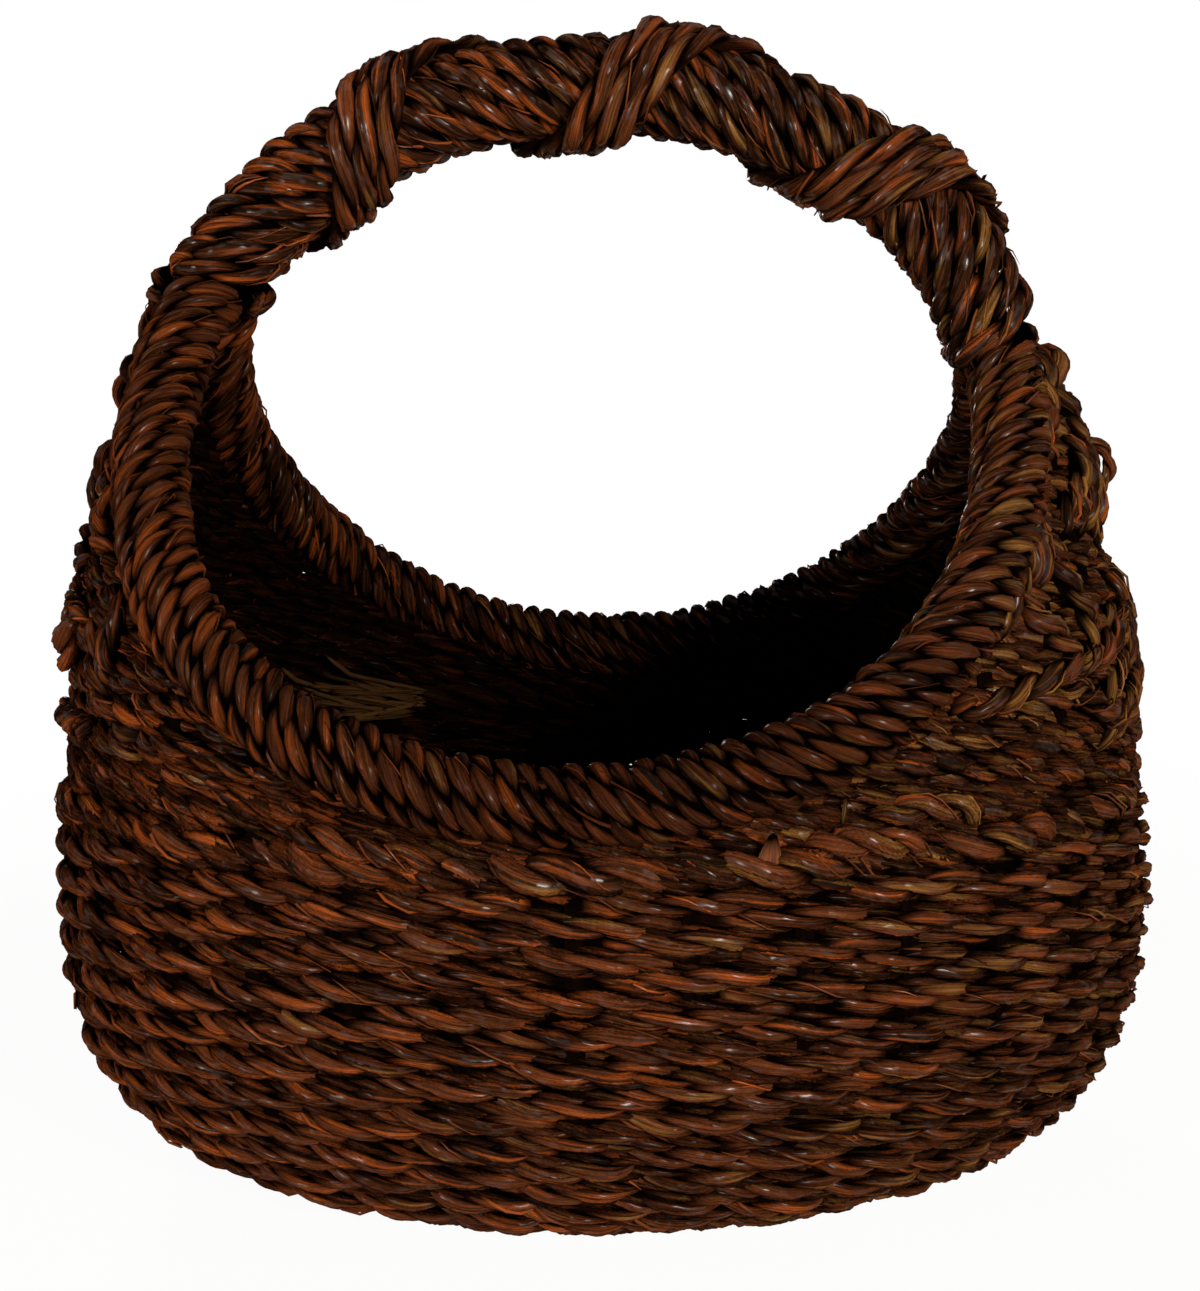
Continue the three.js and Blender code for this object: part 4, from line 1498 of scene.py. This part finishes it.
@dataclass
class LooseEnds:
    """Rope ends and loops, reeds and dry grass that stick out of the weave."""

    thin: Rope = Rope(height=0.0034, thick=0.0034, lay=-0.013, step=0.0008)
    knot: Rope = Rope(height=0.0062, thick=0.0056, lay=0.018, uneven=0.2, blunt=0.006)
    reed: Rope = Rope(height=0.0024, thick=0.0010, lay=1.0, plies=1, step=0.0008, frizz=0)
    blade: Rope = Rope(height=0.0012, thick=0.0005, lay=1.0, plies=1, step=0.0008, frizz=0)
    tip: Rope = Rope(height=0.0068, thick=0.0022, lay=1.0, plies=1, step=0.0006, blunt=0.011, frizz=0)
    blades: int = 32
    blade_roots: Range = (114.0, 124.0)
    blade_spans: Range = (8.0, 17.0)
    blade_heights: Range = (0.089, 0.098)
    blade_rise: Range = (-0.003, 0.013)
    blade_depth: Range = (-0.0075, -0.0045)
    blade_lean: Range = (-0.004, 0.0)
    blade_shades: Range = (-0.3, 0.4)
    blade_samples: int = 20
    seed: int = 211

    def build(self) -> None:
        """Makes the loose pieces."""
        pieces = (
            LooseEnd(
                "loop_at_right_side",
                self.thin,
                WRAP_FINISH,
                bearings=(2, 1, 0, 0, 0, -1),
                heights=(0.170, 0.1715, 0.169, 0.1635, 0.159, 0.156),
                lifts=(0.0, 0.0045, 0.0088, 0.0088, 0.0045, 0.0),
            ),
            LooseEnd(
                "reed_at_right_side",
                self.reed,
                REED_FINISH,
                bearings=(-5, -4, -3, -3),
                heights=(0.143, 0.137, 0.131, 0.126),
                lifts=(0.001, 0.0035, 0.0055, 0.002),
            ),
            LooseEnd(
                "loop_at_left_side",
                self.knot,
                BAND_FINISH,
                bearings=(-163, -161, -160, -162, -166),
                heights=(0.140, 0.139, 0.133, 0.127, 0.124),
                lifts=(0.001, 0.004, 0.0055, 0.004, 0.0),
                shade=0.3,
            ),
            LooseEnd(
                "tip_of_stake",
                self.tip,
                TIP_FINISH,
                bearings=(-72.0, -72.0),
                heights=(0.086, 0.1010),
                lifts=(-0.0035, 0.0070),
                shade=0.3,
            ),
            LooseEnd(
                "reed_under_front_rim",
                self.blade,
                REED_FINISH,
                bearings=(-64.6, -64.0),
                heights=(0.100, 0.109),
                lifts=(0.002, 0.003),
                shade=0.5,
            ),
            LooseEnd(
                "knot_under_rim_left",
                self.knot,
                ROW_FINISH,
                bearings=(-119, -113, -107, -102),
                heights=(0.099, 0.0985, 0.0965, 0.0945),
                lifts=(0.0, 0.0042, 0.0042, 0.0),
            ),
            LooseEnd(
                "knot_under_rim_right",
                self.knot,
                ROW_FINISH,
                bearings=(-70, -65, -60, -55),
                heights=(0.0955, 0.0975, 0.0965, 0.0950),
                lifts=(0.0, 0.0042, 0.0048, 0.002),
            ),
            LooseEnd(
                "knot_by_right_rim",
                self.knot,
                GORE_FINISH,
                bearings=(-62, -57, -52, -48),
                heights=(0.1010, 0.1030, 0.1020, 0.0985),
                lifts=(0.0, 0.0040, 0.0048, 0.001),
            ),
        )
        for number, piece in enumerate(pieces):
            piece.build(self.seed + number)
        self._grass()

    def _grass(self) -> None:
        """Makes the dry grass that fans out inside the back of the wall, at the left."""
        mesh = RopeMesh("grass_inside_back", self.seed - 1)
        rng = mesh.rng
        for _ in range(self.blades):
            root = rng.uniform(*self.blade_roots)
            passed = np.linspace(0, 1, self.blade_samples)
            bearing = np.radians(root + rng.uniform(*self.blade_spans) * passed)
            level = rng.uniform(*self.blade_heights) + rng.uniform(*self.blade_rise) * passed
            point, out, _ = WALL.frame(bearing, level)
            depth = rng.uniform(*self.blade_depth) + rng.uniform(*self.blade_lean) * passed
            shade = rng.uniform(*self.blade_shades)
            mesh.add(Course(point + depth[:, None] * out, -out), self.blade, shade)
        settle(mesh, REED_FINISH, [])


@dataclass
class BaseMat:
    """Flat oval mat under the bowl, of one rope coiled inwards that steps in once a turn."""

    rope: Rope = Rope(height=0.0110, thick=0.0098, lay=0.030, plies=3, frizz=0)
    coils: int = 8
    step_share: float = 0.08
    samples: int = 240
    seed: int = 171

    def build(self) -> None:
        """Makes the mat."""
        low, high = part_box("base_mat")
        spacing = high.y / self.coils
        turn = np.linspace(0, self.coils - self.step_share, self.coils * self.samples)
        whole = np.floor(turn)
        inset = spacing * (0.5 + whole + ease((turn - whole - 1) / self.step_share + 1))
        points = np.stack(
            [
                (high.x - inset) * np.cos(TURN * turn),
                (high.y - inset) * np.sin(TURN * turn),
                np.full(len(turn), high.z - self.rope.thick / 2),
            ],
            axis=-1,
        )
        up = np.tile(np.array([0.0, 0.0, 1.0]), (len(turn), 1))
        mesh = RopeMesh("rope_of_base_mat", self.seed)
        mesh.add(Course(points, up), self.rope)
        mesh.flatten_under(low.z)
        settle(mesh, ROW_FINISH, ["base_mat"])


@dataclass
class Canes:
    """Bent hoops and upright stakes: the CAD shapes, with their finish."""

    finish: CaneFinish = CANE_FINISH

    def build(self) -> None:
        """Gives each cane its finish."""
        for name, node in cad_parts.items():
            if name.startswith("stake") or name.endswith("hoop_core"):
                dress(node, self.finish)
                LOG.info("%s: dressed", name)


@dataclass(frozen=True)
class Lamp:
    """A soft square lamp that faces the basket, in metres and watts."""

    name: str
    place: Triple
    power: float
    size: float = 0.2
    aim: Triple = (0.0, 0.0, 0.12)
    colour: Colour = (1.0, 0.93, 0.83)

    def build(self) -> None:
        """Adds the lamp."""
        data = bpy.data.lights.new(self.name, "AREA")
        data.shape = "SQUARE"
        data.size = self.size
        data.energy = self.power
        data.color = self.colour
        lamp = bpy.data.objects.new(self.name, data)
        bpy.context.scene.collection.objects.link(lamp)
        lamp.location = self.place
        aim = Vector(self.aim) - lamp.location
        lamp.rotation_euler = aim.to_track_quat("-Z", "Y").to_euler()


@dataclass
class Studio:
    """Pale floor, soft lamps and the camera, in metres and degrees."""

    distance: float = 0.5529
    yaw: float = 3.267
    aim: float = 3.166
    pitch: float = -10.187
    roll: float = -1.0
    height: float = 0.2231
    lens: float = 63.3
    sensor: float = 36.0
    nearest: float = 0.01
    floor_size: float = 12.0
    floor_drop: float = 0.0002
    floor_colour: Colour = (0.86, 0.86, 0.86)
    white: Colour = (1.0, 1.0, 1.0)
    shadow_white: float = 0.955
    shadow_reach: float = 0.25
    shadow_fade: float = 0.25
    background_rays: tuple[str, ...] = ("Camera", "Glossy", "Transmission")
    sky_light: float = 0.08
    lamps: tuple[Lamp, ...] = (
        Lamp("key_lamp", (0.58, -1.03, 0.44), 20.0),
        Lamp("fill_lamp", (-0.85, -0.95, 0.24), 8.0),
        Lamp("back_lamp", (-0.45, 1.10, 0.30), 13.0),
    )

    def _background_ray(self, graph: Graph) -> Signal:
        """1 for a ray that shows the background: to the camera, or mirrored or let through by a piece."""
        rays = (f"Is {kind} Ray" for kind in self.background_rays)
        return sum(graph.node("ShaderNodeLightPath", {}, {}, ray) for ray in rays).clamped()

    def _floor(self) -> None:
        """Adds the floor, which shows white and keeps the basket's shadow."""
        bpy.ops.mesh.primitive_plane_add(size=self.floor_size, location=(0, 0, -self.floor_drop))
        floor = bpy.context.object
        floor.name = "studio_floor"
        made, graph = finish_graph("pale_floor")
        seen = self._background_ray(graph)
        place = graph.node("ShaderNodeTexCoord", {}, {}, "Object")
        away = graph.node("ShaderNodeVectorMath", {"operation": "LENGTH"}, {0: place}, "Value")
        outside = ((away - self.shadow_reach) * (1 / self.shadow_fade)).clamped()
        share = mix(self.shadow_white, 1.0, outside)
        matt = graph.node("ShaderNodeBsdfDiffuse", {}, {"Color": self.floor_colour})
        white = graph.node("ShaderNodeEmission", {}, {"Color": self.white, "Strength": 1.0})
        shader = graph.node("ShaderNodeMixShader", {}, {0: seen * share, 1: matt, 2: white})
        graph.node("ShaderNodeOutputMaterial", {}, {"Surface": shader})
        floor.data.materials.append(made)

    def _sky(self) -> None:
        """Sets the soft light from all round, and the white behind the basket."""
        world = bpy.data.worlds.new("studio")
        bpy.context.scene.world = world
        world.use_nodes = True
        graph = Graph(world.node_tree)
        seen = self._background_ray(graph)
        strength = self.sky_light + seen * (1 - self.sky_light)
        light = graph.node("ShaderNodeBackground", {}, {"Color": self.white, "Strength": strength})
        graph.node("ShaderNodeOutputWorld", {}, {"Surface": light})

    def _camera(self) -> None:
        """Adds the camera."""
        data = bpy.data.cameras.new("camera")
        data.sensor_fit = "AUTO"
        data.sensor_width = self.sensor
        data.lens = self.lens
        data.clip_start = self.nearest
        data.dof.use_dof = False
        camera = bpy.data.objects.new("camera", data)
        bpy.context.scene.collection.objects.link(camera)
        yaw = math.radians(self.yaw)
        camera.location = (self.distance * math.sin(yaw), -self.distance * math.cos(yaw), self.height)
        turns = ((self.aim, "Z"), (90 + self.pitch, "X"), (self.roll, "Z"))
        aim, tilt, roll = (Matrix.Rotation(math.radians(angle), 3, axis) for angle, axis in turns)
        camera.rotation_euler = (aim @ tilt @ roll).to_euler()
        bpy.context.scene.camera = camera

    def build(self) -> None:
        """Sets up the studio."""
        self._floor()
        self._sky()
        for lamp in self.lamps:
            lamp.build()
        self._camera()
        bpy.context.scene.view_settings.view_transform = "Standard"


def main() -> None:
    """Builds and dresses the basket, then sets up the studio."""
    logging.basicConfig(level=logging.INFO, format="%(name)s %(message)s")
    stakes = StakeRing(sum(name.startswith("stake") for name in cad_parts))
    basket = (Canes(), BaseMat(), Bowl(stakes), Gores(stakes), HoopWraps(), Handle(), LooseEnds())
    for assembly in (*basket, Studio()):
        assembly.build()


if __name__ == "__main__":
    main()
